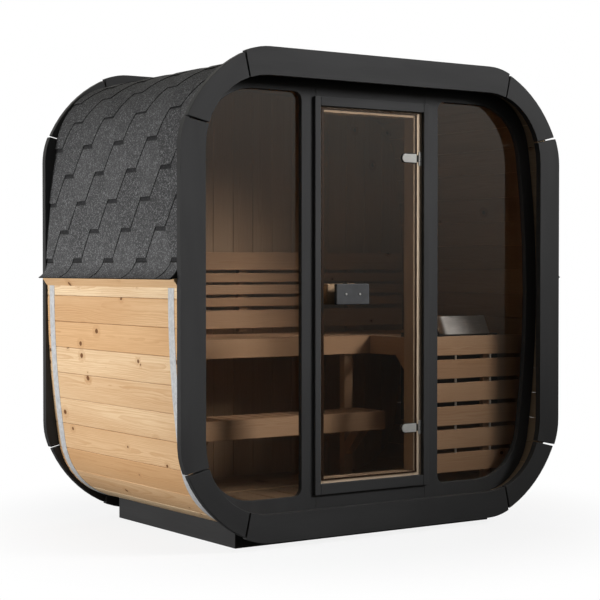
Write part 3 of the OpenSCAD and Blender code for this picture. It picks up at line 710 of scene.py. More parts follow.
for side, label in ((-1, "left"), (1, "right")):
    tabs = []
    for row in range(-1, shingle["rows"]):
        if row < shingle["straightRows"]:
            start = shingle["firstRow"] + row * shingle["row"]
        else:
            start = (shingle["firstRow"] + (shingle["straightRows"] - 1) * shingle["row"]
                     + (row - shingle["straightRows"] + 1) * shingle["cornerRow"])
        depth = (shingle["oddStart"] if row % 2 == 0 else shingle["evenStart"]) + shingle["drift"] * row
        depth -= shingle["pitch"]
        while depth - shingle["pitch"] / 2 < rearRing:
            if depth + shingle["pitch"] / 2 > ringBack:
                tab = copyPiece(shingleTab, "tab")
                if depth - shingle["pitch"] / 2 < ringBack:
                    cutFlat(tab, (ringBack - depth + shingle["trim"], 0, 0), (-1, 0, 0))
                if depth + shingle["pitch"] / 2 > rearRing:
                    cutFlat(tab, (rearRing - depth - shingle["trim"], 0, 0), (1, 0, 0))
                if start < eaveEnd:    # the lowest row is cut off along the eave and bent over the flare
                    cutFlat(tab, (0, eaveEnd - start + shingle["trim"], 0), (0, -1, 0))
                    openEdit(tab)
                    for step in shingle["eaveBends"]:
                        bpy.ops.mesh.select_all(action="SELECT")
                        bpy.ops.mesh.bisect(plane_co=(0, step * shingle["bendStep"], 0), plane_no=(0, 1, 0))
                    closeEdit()
                top = quarterArc - shingle["ridgeGap"] - start
                if top < shingle["sheet"]:
                    cutFlat(tab, (0, top, 0), (0, 1, 0))
                layOnRoof(tab, side, start, depth, random.random(), random.randint(0, shingle["patterns"]))
                tabs.append(tab)
            depth += shingle["pitch"]

    # the straight starter sheet that runs down over the flare
    starterHeight = shingle["firstRow"] + shingle["starterLap"] - eaveEnd
    starter = addSheet("starter", (rearRing - ringBack - 2 * shingle["trim"], starterHeight),
                       shingle["starterCuts"], (0, starterHeight / 2, 0))
    coatShingle(starter, shingle["thick"], 1)
    slide = eaveEnd - shingle["firstRow"] + 2 * shingle["row"]
    layOnRoof(starter, side, eaveEnd, 0, shingle["starterTone"], shingle["starterPattern"], slide,
              shingle["starterSink"])
    tabs.append(starter)
    roof = joinPieces(tabs, label + "_shingles")
    finishPiece(roof, None)
    if side > 0:
        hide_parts("roof_shingles")
    print(label, "shingles laid", len(roof.data.polygons), "faces")

# ridge caps bent over the top, each lapping the one behind it
ridge = {"width": 0.21, "length": 0.30, "showing": 0.15, "thick": 0.002, "lift": 0.0097, "cuts": (8, 3),
         "endGap": 0.001, "shortest": 0.01, "rise": 0.002, "patterns": 90, "patternShare": 0.5}
caps = []
place = rearRing - ridge["endGap"]
while place > ringBack + ridge["shortest"]:
    lengthNow = min(ridge["length"], place - ringBack - ridge["endGap"])
    cap = addSheet("cap", (ridge["width"], lengthNow), ridge["cuts"])
    coatShingle(cap, ridge["thick"], -1)
    grain, shade = boardLayers(cap.data)
    number = random.random() * ridge["patterns"]
    level = random.random()
    for index, vertex in enumerate(cap.data.vertices):
        flat = vertex.co.copy()
        grain.data[index].vector = (flat.x, flat.y * ridge["patternShare"], number)
        shade.data[index].value = level
        slope = ridge["rise"] * (flat.y / lengthNow + 0.5)
        x, z = tubePoint(quarterArc - flat.x, ridge["lift"] - slope + flat.z)
        vertex.co = Vector((x, place - lengthNow / 2 + flat.y, z))
    caps.append(cap)
    place -= ridge["showing"]
finishPiece(joinPieces(caps, "ridge_caps"), None)
bpy.data.objects.remove(shingleTab)

# the wedge that carries the flare, set back by the thickness of the sheet
wedge = cleanCopy("drip_edges", "drip_wedges", edge=0)
deckRadius = shingle["eaveRadius"] - shingle["lift"]
wedgeRadius = deckRadius + shingle["thick"] + shingle["starterSink"] + shingle["wedgeGap"]
for vertex in wedge.data.vertices:
    side = 1 if vertex.co.x > 0 else -1
    away = Vector((side * vertex.co.x - eaveCentreX, 0, vertex.co.z - eaveTopZ))
    if away.length < deckRadius + shingle["wedgeReach"]:
        away = away.normalized() * wedgeRadius
        vertex.co = Vector((side * (eaveCentreX + away.x), vertex.co.y, eaveTopZ + away.z))
finishPiece(wedge, shingleEdge, stands=("drip_edges",))


def looseParts(piece):
    openEdit(piece)
    bpy.ops.mesh.separate(type="LOOSE")
    closeEdit()
    return list(bpy.context.selected_objects)


def grainByBoard(piece, name, way=None):
    # every loose board gets its own grain, along its longest side unless a way is given
    def firstCorner(part):
        place = part.data.vertices[0].co
        return round(place.x, 4), round(place.z, 4)

    parts = looseParts(piece)
    for part in sorted(parts, key=firstCorner):
        if way:
            ways = grainWays[way] if isinstance(way, str) else way(part)
        else:
            corners = [v.co for v in part.data.vertices]
            size = [max(c[axis] for c in corners) - min(c[axis] for c in corners) for axis in range(3)]
            ways = grainWays["xyz"[size.index(max(size))]]
        putGrain(part, *ways)
    return joinPieces(parts, name)


# eased edges of painted and planed boards, and the angle in degrees past which an edge is eased
planed = {"edge": 0.003, "sharp": 40}


def planeBoards(node, ending, way, finish):
    # the boards of a node, with eased edges and each with its own grain
    boards = cleanCopy(node, node + ending, edge=planed["edge"], sharp=planed["sharp"])
    finishPiece(grainByBoard(boards, node + ending, way), finish, stands=(node,))


batten = grainByBoard(cleanCopy("drip_battens", "drip_boards"), "drip_boards", "y")
finishPiece(batten, spruce, stands=("drip_battens",))
print("roof finished")


strap = {"thick": 0.0015, "bends": 150, "edge": 0.0004, "rimFrom": 0.02, "lift": 0.0001}
for label in ("front", "rear"):
    low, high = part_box("steel_band_" + label)
    reach = 2 * quarterArc + 2 * (high.z - centreZ)
    band = addSheet("band", (reach, high.y - low.y), (strap["bends"], 1))
    thicken(band, strap["thick"], 1)

    def onOuterRim(edge):
        first, second = edgeEnds(band.data, edge)
        aside = min(abs(first.y), abs(second.y)) > strap["rimFrom"] and first.y * second.y > 0
        return aside and min(first.z, second.z) > strap["thick"] / 2

    pickParts(band, "edges", onOuterRim)
    bpy.ops.mesh.bevel(offset=strap["edge"], segments=1, affect="EDGES")
    closeEdit()
    for vertex in band.data.vertices:
        flat = vertex.co.copy()
        lift = strap["lift"] if flat.z < strap["thick"] / 2 else 0
        x, z = tubePoint(-quarterArc + flat.x, flat.z + lift)
        vertex.co = Vector((x, (low.y + high.y) / 2 + flat.y, z))
    band = turnOutwards(joinPieces([band], label + "_strap"))
    finishPiece(band, galvanised, stands=("steel_band_" + label,))
print("straps fitted")


ringCorner = 0.5    # boards further than this from the middle, sideways and upwards, are corner boards


def ringWay(part):
    centre = middleOf(part.data)
    x, z = centre.x, centre.z - centreZ
    if abs(x) > ringCorner and abs(z) > ringCorner:
        along = Vector((-z, 0, x)).normalized()
        return along, Vector((x, 0, z)).normalized(), yWay
    return grainWays["z"] if abs(x) > abs(z) else grainWays["x"]


for label in ("front", "rear"):
    for kind in ("boards", "corners"):
        planeBoards(label + "_fascia_" + kind, "_painted", ringWay, greyPaint)
print("rings finished")

planeBoards("plinth_sides", "_painted", "side", greyPaint)
planeBoards("plinth_ends", "_painted", "x", greyPaint)
print("plinth finished")


wall = {"seam": 0.0365, "pitch": 0.1145, "seams": 9, "chamfer": 0.003, "edge": 0.002, "joint": 0.0002,
        "narrowest": 0.03, "beyond": 0.01, "nearJoint": 0.001, "outsideDepth": 0.004, "roomDepth": 0.001}
upright = 0.0001    # an edge that wanders less than this sideways stands straight up


def cutBoards(source, name, seams, chamfer):
    # a flat wall sawn into upright boards with chamfered joints
    boards = []
    for left, right in zip(seams, seams[1:]):
        board = copyPiece(source, "board")
        cutFlat(board, (left + wall["joint"], 0, 0), (-1, 0, 0))
        cutFlat(board, (right - wall["joint"], 0, 0), (1, 0, 0))
        if not board.data.vertices:
            bpy.data.objects.remove(board)
            continue

        def onJoint(edge):
            place = edgeEnds(board.data, edge)[0]
            span = edgeSpan(board.data, edge)
            if abs(span.x) >= upright or abs(span.y) >= upright:
                return False
            return min(abs(place.x - left), abs(place.x - right)) < wall["nearJoint"]

        pickParts(board, "edges", onJoint)
        bpy.ops.mesh.bevel(offset=chamfer, segments=1, affect="EDGES")
        closeEdit()
        putGrain(board, *grainWays["z"])
        boards.append(board)
    return joinPieces(boards, name)


backSource = cleanCopy("back_wall", "wall_source", edge=0)
low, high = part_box("back_wall")
seams = [wall["seam"] + wall["pitch"] * number for number in range(-wall["seams"], wall["seams"] + 1)]
seams = [seam for seam in seams if low.x + wall["narrowest"] < seam < high.x - wall["narrowest"]]
seams = [low.x - wall["beyond"]] + seams + [high.x + wall["beyond"]]
backWall = cutBoards(backSource, "back_wall_boards", seams, wall["chamfer"])
bpy.data.objects.remove(backSource)
finishPiece(backWall, [wallTimber, wallPaint], stands=("back_wall",))
for face in backWall.data.polygons:
    if face.center.y > high.y - wall["outsideDepth"] and face.normal.y > 0.3:
        face.material_index = 1    # painted outside

for label in ("left", "right", "head", "sill"):
    node = "front_wall_" + label
    part = cleanCopy(node, node + "_boards", edge=wall["edge"], sharp=planed["sharp"])
    way = "x" if label in ("head", "sill") else "z"
    putGrain(part, *grainWays[way])
    low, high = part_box(node)
    finishPiece(part, [wallPaint, wallTimber], stands=(node,))
    for face in part.data.polygons:
        if face.center.y > high.y - wall["roomDepth"] and face.normal.y > 0.9:
            face.material_index = 1    # bare inside

paneEdge = {"window": 0.001, "door": 0.0012}
for label in ("left", "right"):
    node = "window_" + label + "_glass"
    pane = cleanCopy(node, label + "_window_pane", edge=paneEdge["window"], sharp=planed["sharp"], steps=1)
    finishPiece(pane, tintedGlass, stands=(node,))
print("walls finished")


doorway = {"edge": 0.0025, "faceDepth": 0.015, "liningDepth": 0.019, "hingeStop": 0.238, "latchStop": 0.260,
           "wallX": 0.300, "lowRebate": 0.021, "topRebate": 0.025, "fit": 0.0004}
low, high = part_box("door_jambs")
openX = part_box("door_head")[1].x
stopLow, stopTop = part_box("door_threshold")[1].z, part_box("door_head")[0].z
openLow = stopLow - doorway["lowRebate"]
openTop = stopTop + doorway["topRebate"]
frontY, backY = low.y, high.y
faceY = frontY + doorway["faceDepth"]
stopY = frontY + doorway["liningDepth"]
wallLow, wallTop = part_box("front_wall_sill")[1].z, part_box("front_wall_head")[0].z
gap = doorway["fit"]
painted, bare = [], []
for side in (-1, 1):
    def sideBoard(name, inner, outer, front, back, bottom, top):
        near, far = sorted((side * inner, side * outer))
        return addBoard(name, (near, front, bottom), (far, back, top), "z", doorway["edge"])

    outerX = doorway["wallX"] - gap
    stopX = doorway["hingeStop"] if side > 0 else doorway["latchStop"]
    painted.append(sideBoard("face", openX, high.x, frontY, faceY, low.z, high.z))
    painted.append(sideBoard("lining", openX, outerX, faceY, stopY, wallLow + gap, wallTop - gap))
    bare.append(sideBoard("stop", stopX, outerX, stopY, backY, wallLow + gap, wallTop - gap))
jambs = joinPieces(painted, "door_jamb_boards")
finishPiece(jambs, greyPaint, stands=("door_jambs",))
finishPiece(joinPieces(bare, "door_side_stops"), stopTimber)
for node, faceLow, faceTop, liningLow, liningTop, boardLow, boardTop in (
        ("door_head", openTop, high.z, openTop, wallTop - gap, stopTop, wallTop - gap),
        ("door_threshold", low.z, openLow, wallLow + gap, openLow, wallLow + gap, stopLow)):
    acrossX = openX - gap
    edge = doorway["edge"]
    face = addBoard("face", (-acrossX, frontY, faceLow), (acrossX, faceY, faceTop), "x", edge)
    lining = addBoard("lining", (-acrossX, faceY, liningLow), (acrossX, stopY, liningTop), "x", edge)
    finishPiece(joinPieces([face, lining], node + "_boards"), greyPaint, stands=(node,))
    stop = addBoard(node + "_stop", (-doorway["latchStop"] + gap, stopY, boardLow),
                    (doorway["hingeStop"] - gap, backY, boardTop), "x", edge)
    finishPiece(stop, stopTimber)

# a strip between stop and glass, partly a seal and partly painted shade of the groove beside the glass
seal = {"thick": 0.004, "edge": 0.0012, "hingeX": 0.2455, "latchX": -0.258, "wide": 0.010, "below": 0.008,
        "lowGap": 0.001, "above": 0.018, "topGap": 0.011}
seals = []
for left, right, bottom, top in (
        (seal["hingeX"], seal["hingeX"] + seal["wide"], stopLow - seal["below"], stopTop + seal["above"]),
        (seal["latchX"] - seal["wide"], seal["latchX"], stopLow - seal["below"], stopTop + seal["above"]),
        (seal["latchX"], seal["hingeX"], stopTop + seal["topGap"], stopTop + seal["above"]),
        (seal["latchX"], seal["hingeX"], stopLow - seal["below"], stopLow - seal["lowGap"])):
    seals.append(addBoard("seal", (left, stopY - seal["thick"], bottom), (right, stopY, top),
                          "z", seal["edge"], 3))
finishPiece(joinPieces(seals, "door_seal_and_groove_shade"), sealAndGrooveShade)
print("door frame finished")

pane = cleanCopy("door_glass", "door_pane", edge=paneEdge["door"])
finishPiece(pane, tintedGlass, body="door", stands=("door_glass",))

hinge = {"plateHeight": 0.038, "plateEdge": 0.0012, "flatEnd": 0.240, "rearEnd": 0.233, "gasket": 0.0012,
         "gasketRimAndShadow": 0.0030, "gasketRearRim": 0.0006, "gasketPress": 0.0004, "knuckleGap": 0.0015,
         "knuckleSet": 0.0008, "knuckleHigh": 0.030, "barrel": 0.004, "blockEdge": 0.0008,
         "screwSize": 0.0035, "screwPlace": 0.035, "screwShift": 0.018, "screwHead": 0.0012,
         "screwRise": 0.0004, "merge": 0.0001, "edgeShare": 0.3}
strikePlate = {"high": 0.062, "screwShift": 0.019, "screwHead": 0.0010, "screwRise": 0.0006}
low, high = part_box("hinge_clamps")
glassLow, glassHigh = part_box("door_glass")
hingeHeights = (low.z + hinge["plateHeight"] / 2, high.z - hinge["plateHeight"] / 2)
plateLow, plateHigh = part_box("hinge_plates")


def addDisc(name, radius, depth, place, way, sides):
    turned = {"y": (math.pi / 2, 0, 0), "z": (0, 0, 0)}[way]
    bpy.ops.object.select_all(action="DESELECT")
    bpy.ops.mesh.primitive_cylinder_add(vertices=sides, radius=radius, depth=depth,
                                        location=place, rotation=turned)
    piece = bpy.context.object
    piece.name = name
    bpy.ops.object.transform_apply(location=True, rotation=True, scale=True)
    return piece


steelSharp = 50    # degrees; sharper edges of the steel parts are eased


def easeSharpEdges(edge):
    # eases the sharp edges of the piece that is open in edit mode, and closes it
    bpy.ops.mesh.select_mode(type="EDGE")
    bpy.ops.mesh.select_all(action="DESELECT")
    bpy.ops.mesh.edges_select_sharp(sharpness=math.radians(steelSharp))
    bpy.ops.mesh.bevel(offset=edge, segments=2, affect="EDGES")
    closeEdit()


def addClampPlate(name, flatEnd, grow, front, back, height):
    # a disc with its right half pushed out to a straight end
    radius = hinge["plateHeight"] / 2 + grow
    centreX = low.x + hinge["plateHeight"] / 2
    plate = addDisc(name, radius, back - front, (centreX, (front + back) / 2, height), "y", 48)
    for vertex in plate.data.vertices:
        if vertex.co.x > centreX + hinge["merge"]:
            vertex.co.x = flatEnd + grow
            vertex.co.z = height + radius if vertex.co.z > height else height - radius
    openEdit(plate)
    bpy.ops.mesh.remove_doubles(threshold=hinge["merge"])
    easeSharpEdges(min(hinge["plateEdge"], (back - front) * hinge["edgeShare"]))
    return plate


def addRound(name, radius, depth, place, way, sides, edge=0.0006):
    piece = addDisc(name, radius, depth, place, way, sides)
    openEdit(piece)
    easeSharpEdges(edge)
    return piece


screwShape = {"sides": 24, "edgeShare": 0.25, "rimShare": 0.42, "socketShare": 0.55}


def addSocketScrew(name, radius, head, place):
    # a button head with a round socket pressed into it, facing forwards
    screw = addRound(name, radius, head, (place[0], place[1] + head / 2, place[2]), "y", screwShape["sides"],
                     head * screwShape["edgeShare"])
    front = min(v.co.y for v in screw.data.vertices)
    pickParts(screw, "polygons", lambda f: f.normal.y < -0.99 and abs(f.center.y - front) < 0.00005)
    bpy.ops.mesh.inset(thickness=radius * screwShape["rimShare"])
    deep = head * screwShape["socketShare"]
    bpy.ops.mesh.extrude_region_move(TRANSFORM_OT_translate={"value": (0, deep, 0)})
    closeEdit()
    return screw


plates, gaskets, knuckles, strikes = [], [], [], []
frontGasket = glassLow.y - hinge["gasket"]
rearGasket = glassHigh.y + hinge["gasket"]
knuckleX = hinge["flatEnd"] + hinge["knuckleGap"]
barrelX = high.x - hinge["barrel"]
screwX = hinge["flatEnd"] - hinge["screwPlace"]
strikeX = (plateLow.x + plateHigh.x) / 2
for height in hingeHeights:
    plates.append(addClampPlate("plate", hinge["flatEnd"], 0, low.y, frontGasket, height))
    plates.append(addClampPlate("plate", hinge["rearEnd"], 0, rearGasket, high.y, height))
    # the front gasket stands out round the plate as a black rim: partly rubber, partly painted shadow of the
    # clamp on the glass
    gaskets.append(addClampPlate("gasket", hinge["flatEnd"], hinge["gasketRimAndShadow"],
                                 frontGasket - hinge["gasketPress"], glassLow.y, height))
    gaskets.append(addClampPlate("gasket", hinge["rearEnd"], hinge["gasketRearRim"],
                                 glassHigh.y, rearGasket, height))
    halfHigh = hinge["knuckleHigh"] / 2
    knuckles.append(addBoard("knuckle", (knuckleX, low.y + hinge["knuckleSet"], height - halfHigh),
                             (barrelX, glassLow.y, height + halfHigh), "x", hinge["blockEdge"]))
    knuckles.append(addRound("barrel", hinge["barrel"], hinge["knuckleHigh"],
                             (barrelX, glassLow.y, height), "z", 24))
    for shift in (-hinge["screwShift"], hinge["screwShift"]):
        plates.append(addSocketScrew("screw", hinge["screwSize"], hinge["screwHead"],
                                     (screwX + shift, low.y - hinge["screwRise"], height)))
    halfHigh = strikePlate["high"] / 2
    strikes.append(addBoard("strike", (plateLow.x, plateLow.y, height - halfHigh),
                            (plateHigh.x, plateHigh.y, height + halfHigh), "z", hinge["blockEdge"]))
    for shift in (-strikePlate["screwShift"], strikePlate["screwShift"]):
        strikes.append(addSocketScrew("screw", hinge["screwSize"], strikePlate["screwHead"],
                                      (strikeX, plateLow.y - strikePlate["screwRise"], height + shift)))
clamps = joinPieces(plates, "hinge_clamp_plates")
finishPiece(clamps, satinSteel, body="door", stands=("hinge_clamps",))
finishPiece(joinPieces(gaskets, "hinge_gaskets_and_shadow_rims"), rubber, body="door")
finishPiece(joinPieces(knuckles, "hinge_knuckles"), rubber, body="door")
finishPiece(joinPieces(strikes, "hinge_strike_plates"), satinSteel, stands=("hinge_plates",))

handle = {"faceThick": 0.020, "edge": 0.004, "spacerInset": 0.012, "spacerStart": 0.048,
          "spacerEdge": 0.002, "washer": 0.001, "washerEdge": 0.0003, "gripEdge": 0.005,
          "screwFirst": -0.182, "screwSecond": -0.108, "screwSize": 0.005}
low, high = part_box("handle_outer")
spacerX = low.x + handle["spacerStart"]
spacerFront = low.y + handle["faceThick"]
washerFront = high.y - handle["washer"]
spacerLow, spacerTop = low.z + handle["spacerInset"], high.z - handle["spacerInset"]
faceBlock = addBoard("handle_face", low, (high.x, spacerFront, high.z), "x", handle["edge"], 4)
spacer = addBoard("handle_spacer", (spacerX, spacerFront, spacerLow), (high.x, washerFront, spacerTop),
                  "x", handle["spacerEdge"])
washer = addBoard("handle_washer", (spacerX, washerFront, spacerLow), (high.x, high.y, spacerTop),
                  "x", handle["washerEdge"], 1)
outside = joinPieces([faceBlock, spacer], "outer_handle")
finishPiece(outside, handleCoat, body="door", stands=("handle_outer",))
finishPiece(washer, rubber, body="door")
low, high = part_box("handle_inner")
grip = addBoard("inner_handle", low, high, "x", handle["gripEdge"], 4)
finishPiece(grip, stopTimber, body="door", stands=("handle_inner",))
screwLow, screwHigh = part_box("handle_screws")
middleZ = (screwLow.z + screwHigh.z) / 2
screws = [addSocketScrew("screw", handle["screwSize"], screwHigh.y - screwLow.y, (x, screwLow.y, middleZ))
          for x in (handle["screwFirst"], handle["screwSecond"])]
screwHeads = joinPieces(screws, "handle_screw_heads")
finishPiece(screwHeads, satinSteel, body="door", stands=("handle_screws",))
print("door finished")


bench = {"thick": 0.028, "edge": 0.003, "upperBoards": 4, "upperGap": 0.008, "slatPitch": 0.0735,
         "slatGap": 0.010, "endGap": 0.0015, "lowerLeft": -0.9295, "upperFit": 0.004, "lowerFit": 0.001}
low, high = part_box("upper_bench")
leftEnd, rightEnd = low.x + bench["endGap"], high.x - bench["endGap"]
fasciaBack = low.y + bench["thick"]
boards = [addBoard("fascia", (leftEnd, low.y, low.z), (rightEnd, fasciaBack, high.z), "x", bench["edge"])]
firstY = fasciaBack + bench["upperFit"]
boardWide = (high.y - firstY - bench["upperGap"] * (bench["upperBoards"] - 1)) / bench["upperBoards"]
for number in range(bench["upperBoards"]):
    y = firstY + number * (boardWide + bench["upperGap"])
    boards.append(addBoard("board", (leftEnd, y, high.z - bench["thick"]), (rightEnd, y + boardWide, high.z),
                           "x", bench["edge"]))
finishPiece(joinPieces(boards, "upper_bench_boards"), benchTimber, stands=("upper_bench",))

low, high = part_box("lower_bench")
fasciaBack = low.y + bench["thick"]
boards = [addBoard("fascia", (bench["lowerLeft"], low.y, low.z), (high.x, fasciaBack, high.z),
                   "x", bench["edge"])]
slatFront, slatLow = fasciaBack + bench["lowerFit"], high.z - bench["thick"]
x = high.x
while x - bench["slatPitch"] > bench["lowerLeft"]:
    left = x - bench["slatPitch"] + bench["slatGap"]
    boards.append(addBoard("slat", (left, slatFront, slatLow), (x, high.y, high.z), "y", bench["edge"]))
    x -= bench["slatPitch"]
finishPiece(joinPieces(boards, "lower_bench_slats"), benchTimber, stands=("lower_bench",))

for node, way in (("bench_posts", "z"), ("backrest_boards", "x"), ("backrest_battens", "z"),
                  ("guard_posts", "z"), ("heater_guard", "x")):
    planeBoards(node, "_planed", way, benchTimber)
slant = (Vector((0, 1, -1)).normalized(), xWay, Vector((0, 1, 1)).normalized())
planeBoards("bench_braces", "_planed", lambda part: slant, benchTimber)
guard = {"slats": 6, "pitch": 0.1085, "slat": 0.088, "spacerX": (0.5535, 0.7650), "spacerSize": 0.0055,
         "spacerY": 0.007, "spacerSides": 12, "spacerEdge": 0.0008}
low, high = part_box("heater_guard")
spacers = []
for number in range(1, guard["slats"]):
    gapLow = high.z - number * guard["pitch"]
    gapHigh = high.z - (number - 1) * guard["pitch"] - guard["slat"]
    for x in guard["spacerX"]:
        middle = (x, low.y + guard["spacerY"], (gapLow + gapHigh) / 2)
        spacers.append(addRound("spacer", guard["spacerSize"], gapHigh - gapLow, middle, "z",
                                guard["spacerSides"], guard["spacerEdge"]))
finishPiece(joinPieces(spacers, "guard_spacers"), satinSteel)
planeBoards("guard_rail", "_planed", "y", benchTimber)
print("benches finished")

casing = cleanCopy("heater_body", "heater_casing", edge=0.004, sharp=planed["sharp"], steps=3)
finishPiece(casing, heaterCoat, stands=("heater_body",))
collar = {"lean": 0.042, "bend": 0.020, "steps": 8, "sheet": 0.003, "near": 0.001}
low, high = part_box("heater_collar")
middle = ((low.x + high.x) / 2, (low.y + high.y - collar["lean"]) / 2, (low.z + high.z) / 2)
size = (high.x - low.x, high.y - low.y - collar["lean"], high.z - low.z)
sheet = addBlock("collar", middle, size)
pickParts(sheet, "polygons", lambda f: f.normal.y > 0.9 or abs(f.normal.z) > 0.9)
bpy.ops.mesh.delete(type="FACE")
closeEdit()


def onFrontCorner(edge):
    inFront = all(place.y < low.y + collar["near"] for place in edgeEnds(sheet.data, edge))
    return inFront and abs(edgeSpan(sheet.data, edge).z) > collar["near"]


pickParts(sheet, "edges", onFrontCorner)
bpy.ops.mesh.bevel(offset=collar["bend"], segments=collar["steps"], profile=0.5, affect="EDGES")
closeEdit()
pickParts(sheet, "vertices", lambda v: v.co.z > high.z - collar["near"])
bpy.ops.transform.translate(value=(0, collar["lean"], 0))
closeEdit()
thicken(sheet, collar["sheet"], -1)
collarSheet = joinPieces([sheet], "heater_collar_sheet")
finishPiece(collarSheet, brushedSteel, stands=("heater_collar",))
print("heater finished")


# the slatted floor: boards front to back on cross bars, and boards across that run on under the benches
mat = {"left": -0.585, "front": -0.440, "back": 0.025, "top": 0.150, "thick": 0.022, "slats": 6,
       "slat": 0.129, "gap": 0.008, "across": 5, "acrossWide": 0.082, "acrossGap": 0.006, "rise": 0.005,
       "barHigh": 0.008, "bar": 0.045, "barInset": 0.030, "barFronts": (-0.380, -0.200, -0.030),
       "footLow": 0.089, "edge": 0.003}
slatLow = mat["top"] - mat["thick"]
barLow = slatLow - mat["barHigh"]
matRight = mat["left"] + mat["slats"] * (mat["slat"] + mat["gap"]) - mat["gap"]
barLeft, barRight = mat["left"] + mat["barInset"], matRight - mat["barInset"]
footLeft = barRight - mat["bar"]
boards = []


def layBoard(name, low, high, way):
    boards.append(addBoard(name, low, high, way, mat["edge"]))


for number in range(mat["slats"]):
    x = mat["left"] + number * (mat["slat"] + mat["gap"])
    layBoard("slat", (x, mat["front"], slatLow), (x + mat["slat"], mat["back"], mat["top"]), "y")
for y in mat["barFronts"]:
    layBoard("bar", (barLeft, y, barLow), (barRight, y + mat["bar"], slatLow), "x")
    layBoard("foot", (footLeft, y, mat["footLow"]), (barRight, y + mat["bar"], barLow), "x")
y = mat["back"] + mat["acrossGap"]
acrossBack = y + mat["across"] * (mat["acrossWide"] + mat["acrossGap"]) - mat["acrossGap"]
acrossTop = mat["top"] + mat["rise"]
for x in (barLeft, footLeft):
    layBoard("bar", (x, y, barLow), (x + mat["bar"], acrossBack, slatLow), "y")
layBoard("foot", (footLeft, y, mat["footLow"]), (barRight, y + mat["bar"], barLow), "x")
for number in range(mat["across"]):
    layBoard("across", (mat["left"], y, slatLow), (matRight, y + mat["acrossWide"], acrossTop), "x")
    y += mat["acrossWide"] + mat["acrossGap"]
# the floor slats take the darker room timber, which paints the shade under the benches
finishPiece(joinPieces(boards, "floor_slats"), roomTimberAndShade)
print("slatted floor finished")


studio = {"floorSize": 60, "floorDrop": 0.0005, "shadowShare": 0.14, "shadowNear": 0.9,
          "shadowReach": 1.9, "floorGrey": 0.08, "floorPale": 0.95, "ambient": 0.09, "mirrorLow": 0.0,
          "mirrorHigh": 0.9, "mirrorFrom": -0.14, "mirrorTo": 0.30, "mirrorTint": (1.0, 0.97, 0.88, 1),
          "floorMirrorNear": 0.05, "floorMirrorFar": 0.14, "floorMirrorFrom": 8, "floorMirrorTo": 32}
bpy.ops.object.select_all(action="DESELECT")
bpy.ops.mesh.primitive_plane_add(size=studio["floorSize"], location=(0, 0, -studio["floorDrop"]))
floor = bpy.context.object
floor.name = "studio_floor"
floorFinish, tree = startFinish("studio floor")
place = addNode(tree, "ShaderNodeTexCoord").outputs["Object"]
away = addNode(tree, "ShaderNodeVectorMath", {0: place}, operation="LENGTH").outputs["Value"]
share = fadeBetween(tree, away, studio["shadowNear"], studio["shadowReach"], studio["shadowShare"], 0.0)
matt = addNode(tree, "ShaderNodeBsdfDiffuse", {"Color": (studio["floorGrey"],) * 3 + (1,)})
pale = addNode(tree, "ShaderNodeBsdfDiffuse", {"Color": (studio["floorPale"],) * 3 + (1,)})
glow = addNode(tree, "ShaderNodeEmission", {"Color": (1, 1, 1, 1), "Strength": 1.0})
rays = addNode(tree, "ShaderNodeLightPath")
white = addNode(tree, "ShaderNodeMixShader", {0: share, 1: glow.outputs[0], 2: pale.outputs[0]})
seen = doMath(tree, "MAXIMUM", rays.outputs["Is Camera Ray"], rays.outputs["Is Transmission Ray"])
mirrored = fadeBetween(tree, away, studio["floorMirrorFrom"], studio["floorMirrorTo"],
                       studio["floorMirrorNear"], studio["floorMirrorFar"])
sheen = addNode(tree, "ShaderNodeEmission", {"Color": studio["mirrorTint"], "Strength": mirrored})
glossy = rays.outputs["Is Glossy Ray"]
unseen = addNode(tree, "ShaderNodeMixShader", {0: glossy, 1: matt.outputs[0], 2: sheen.outputs[0]})
mixed = addNode(tree, "ShaderNodeMixShader", {0: seen, 1: unseen.outputs[0], 2: white.outputs[0]})
addNode(tree, "ShaderNodeOutputMaterial", {"Surface": mixed.outputs[0]})
floor.data.materials.append(floorFinish)

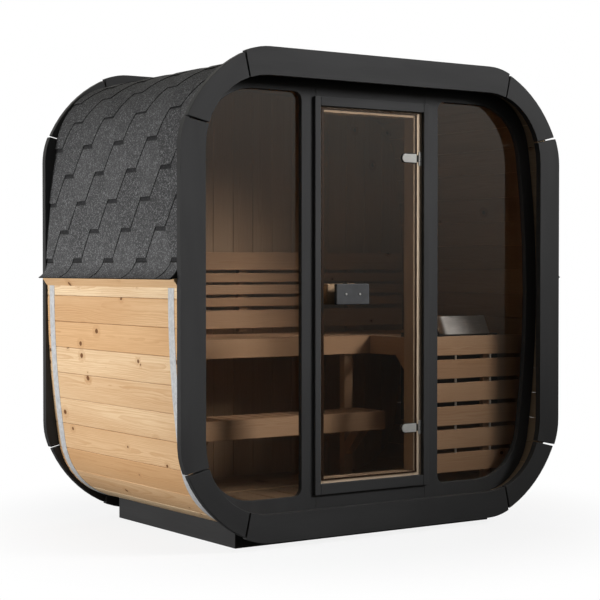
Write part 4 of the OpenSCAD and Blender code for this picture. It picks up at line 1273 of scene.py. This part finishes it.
world = bpy.data.worlds.new("studio")
bpy.context.scene.world = world
world.use_nodes = True
tree = world.node_tree
tree.nodes.clear()
rays = addNode(tree, "ShaderNodeLightPath")
ways = addNode(tree, "ShaderNodeTexCoord").outputs["Generated"]
up = addNode(tree, "ShaderNodeSeparateXYZ", {0: ways}).outputs[2]
mirror = fadeBetween(tree, up, studio["mirrorFrom"], studio["mirrorTo"],
                     studio["mirrorLow"], studio["mirrorHigh"])
extra = doMath(tree, "SUBTRACT", mirror, studio["ambient"])
extra = doMath(tree, "MULTIPLY", rays.outputs["Is Glossy Ray"], extra)
level = doMath(tree, "ADD", studio["ambient"], extra)
seen = doMath(tree, "MAXIMUM", rays.outputs["Is Camera Ray"], rays.outputs["Is Transmission Ray"])
level = doMath(tree, "MAXIMUM", level, seen)
tint = blendColours(tree, rays.outputs["Is Glossy Ray"], (1, 1, 1, 1), studio["mirrorTint"])
sky = addNode(tree, "ShaderNodeBackground", {"Color": tint, "Strength": level})
addNode(tree, "ShaderNodeOutputWorld", {"Surface": sky.outputs[0]})


# energy in watts, spread in degrees: a narrow spread in front keeps the right side darker
lamps = {"left_lamp": {"place": (-5.0, 1.4, 0.8), "aim": (-1.0, 0.0, 0.8), "size": (2.6, 1.4),
                       "energy": 33, "spread": 64},
         "front_lamp": {"place": (3.2, -4.46, 3.86), "aim": (-0.56, -0.5, 1.46), "size": (2.2, 2.0),
                        "energy": 33.5, "spread": 38.5},
         "rear_lamp": {"place": (3.4, 4.2, 3.6), "aim": (0.0, 0.0, 1.0), "size": (3.0, 3.0),
                       "energy": 85, "spread": 180}}
for name, look in lamps.items():
    light = bpy.data.lights.new(name, "AREA")
    light.shape = "RECTANGLE"
    light.size, light.size_y = look["size"]
    light.energy = look["energy"]
    light.spread = math.radians(look["spread"])
    lamp = bpy.data.objects.new(name, light)
    bpy.context.scene.collection.objects.link(lamp)
    lamp.location = look["place"]
    lamp.rotation_euler = (Vector(look["aim"]) - lamp.location).to_track_quat("-Z", "Y").to_euler()
    lamp.visible_camera = False    # the lamps light the object without showing in it
    lamp.visible_glossy = False

eye = {"place": (-4.281, -6.198, 1.179), "tilt": 88.83, "turn": -34.527, "lens": 96.65, "sensor": 36,
       "farthest": 200}
camera = bpy.data.objects.new("camera", bpy.data.cameras.new("camera"))
bpy.context.scene.collection.objects.link(camera)
camera.location = eye["place"]
camera.rotation_euler = (math.radians(eye["tilt"]), 0, math.radians(eye["turn"]))
camera.data.lens = eye["lens"]
camera.data.sensor_width = eye["sensor"]
camera.data.clip_end = eye["farthest"]
bpy.context.scene.camera = camera
bpy.context.scene.view_settings.view_transform = "Standard"
print("studio ready")

bpy.context.view_layer.update()
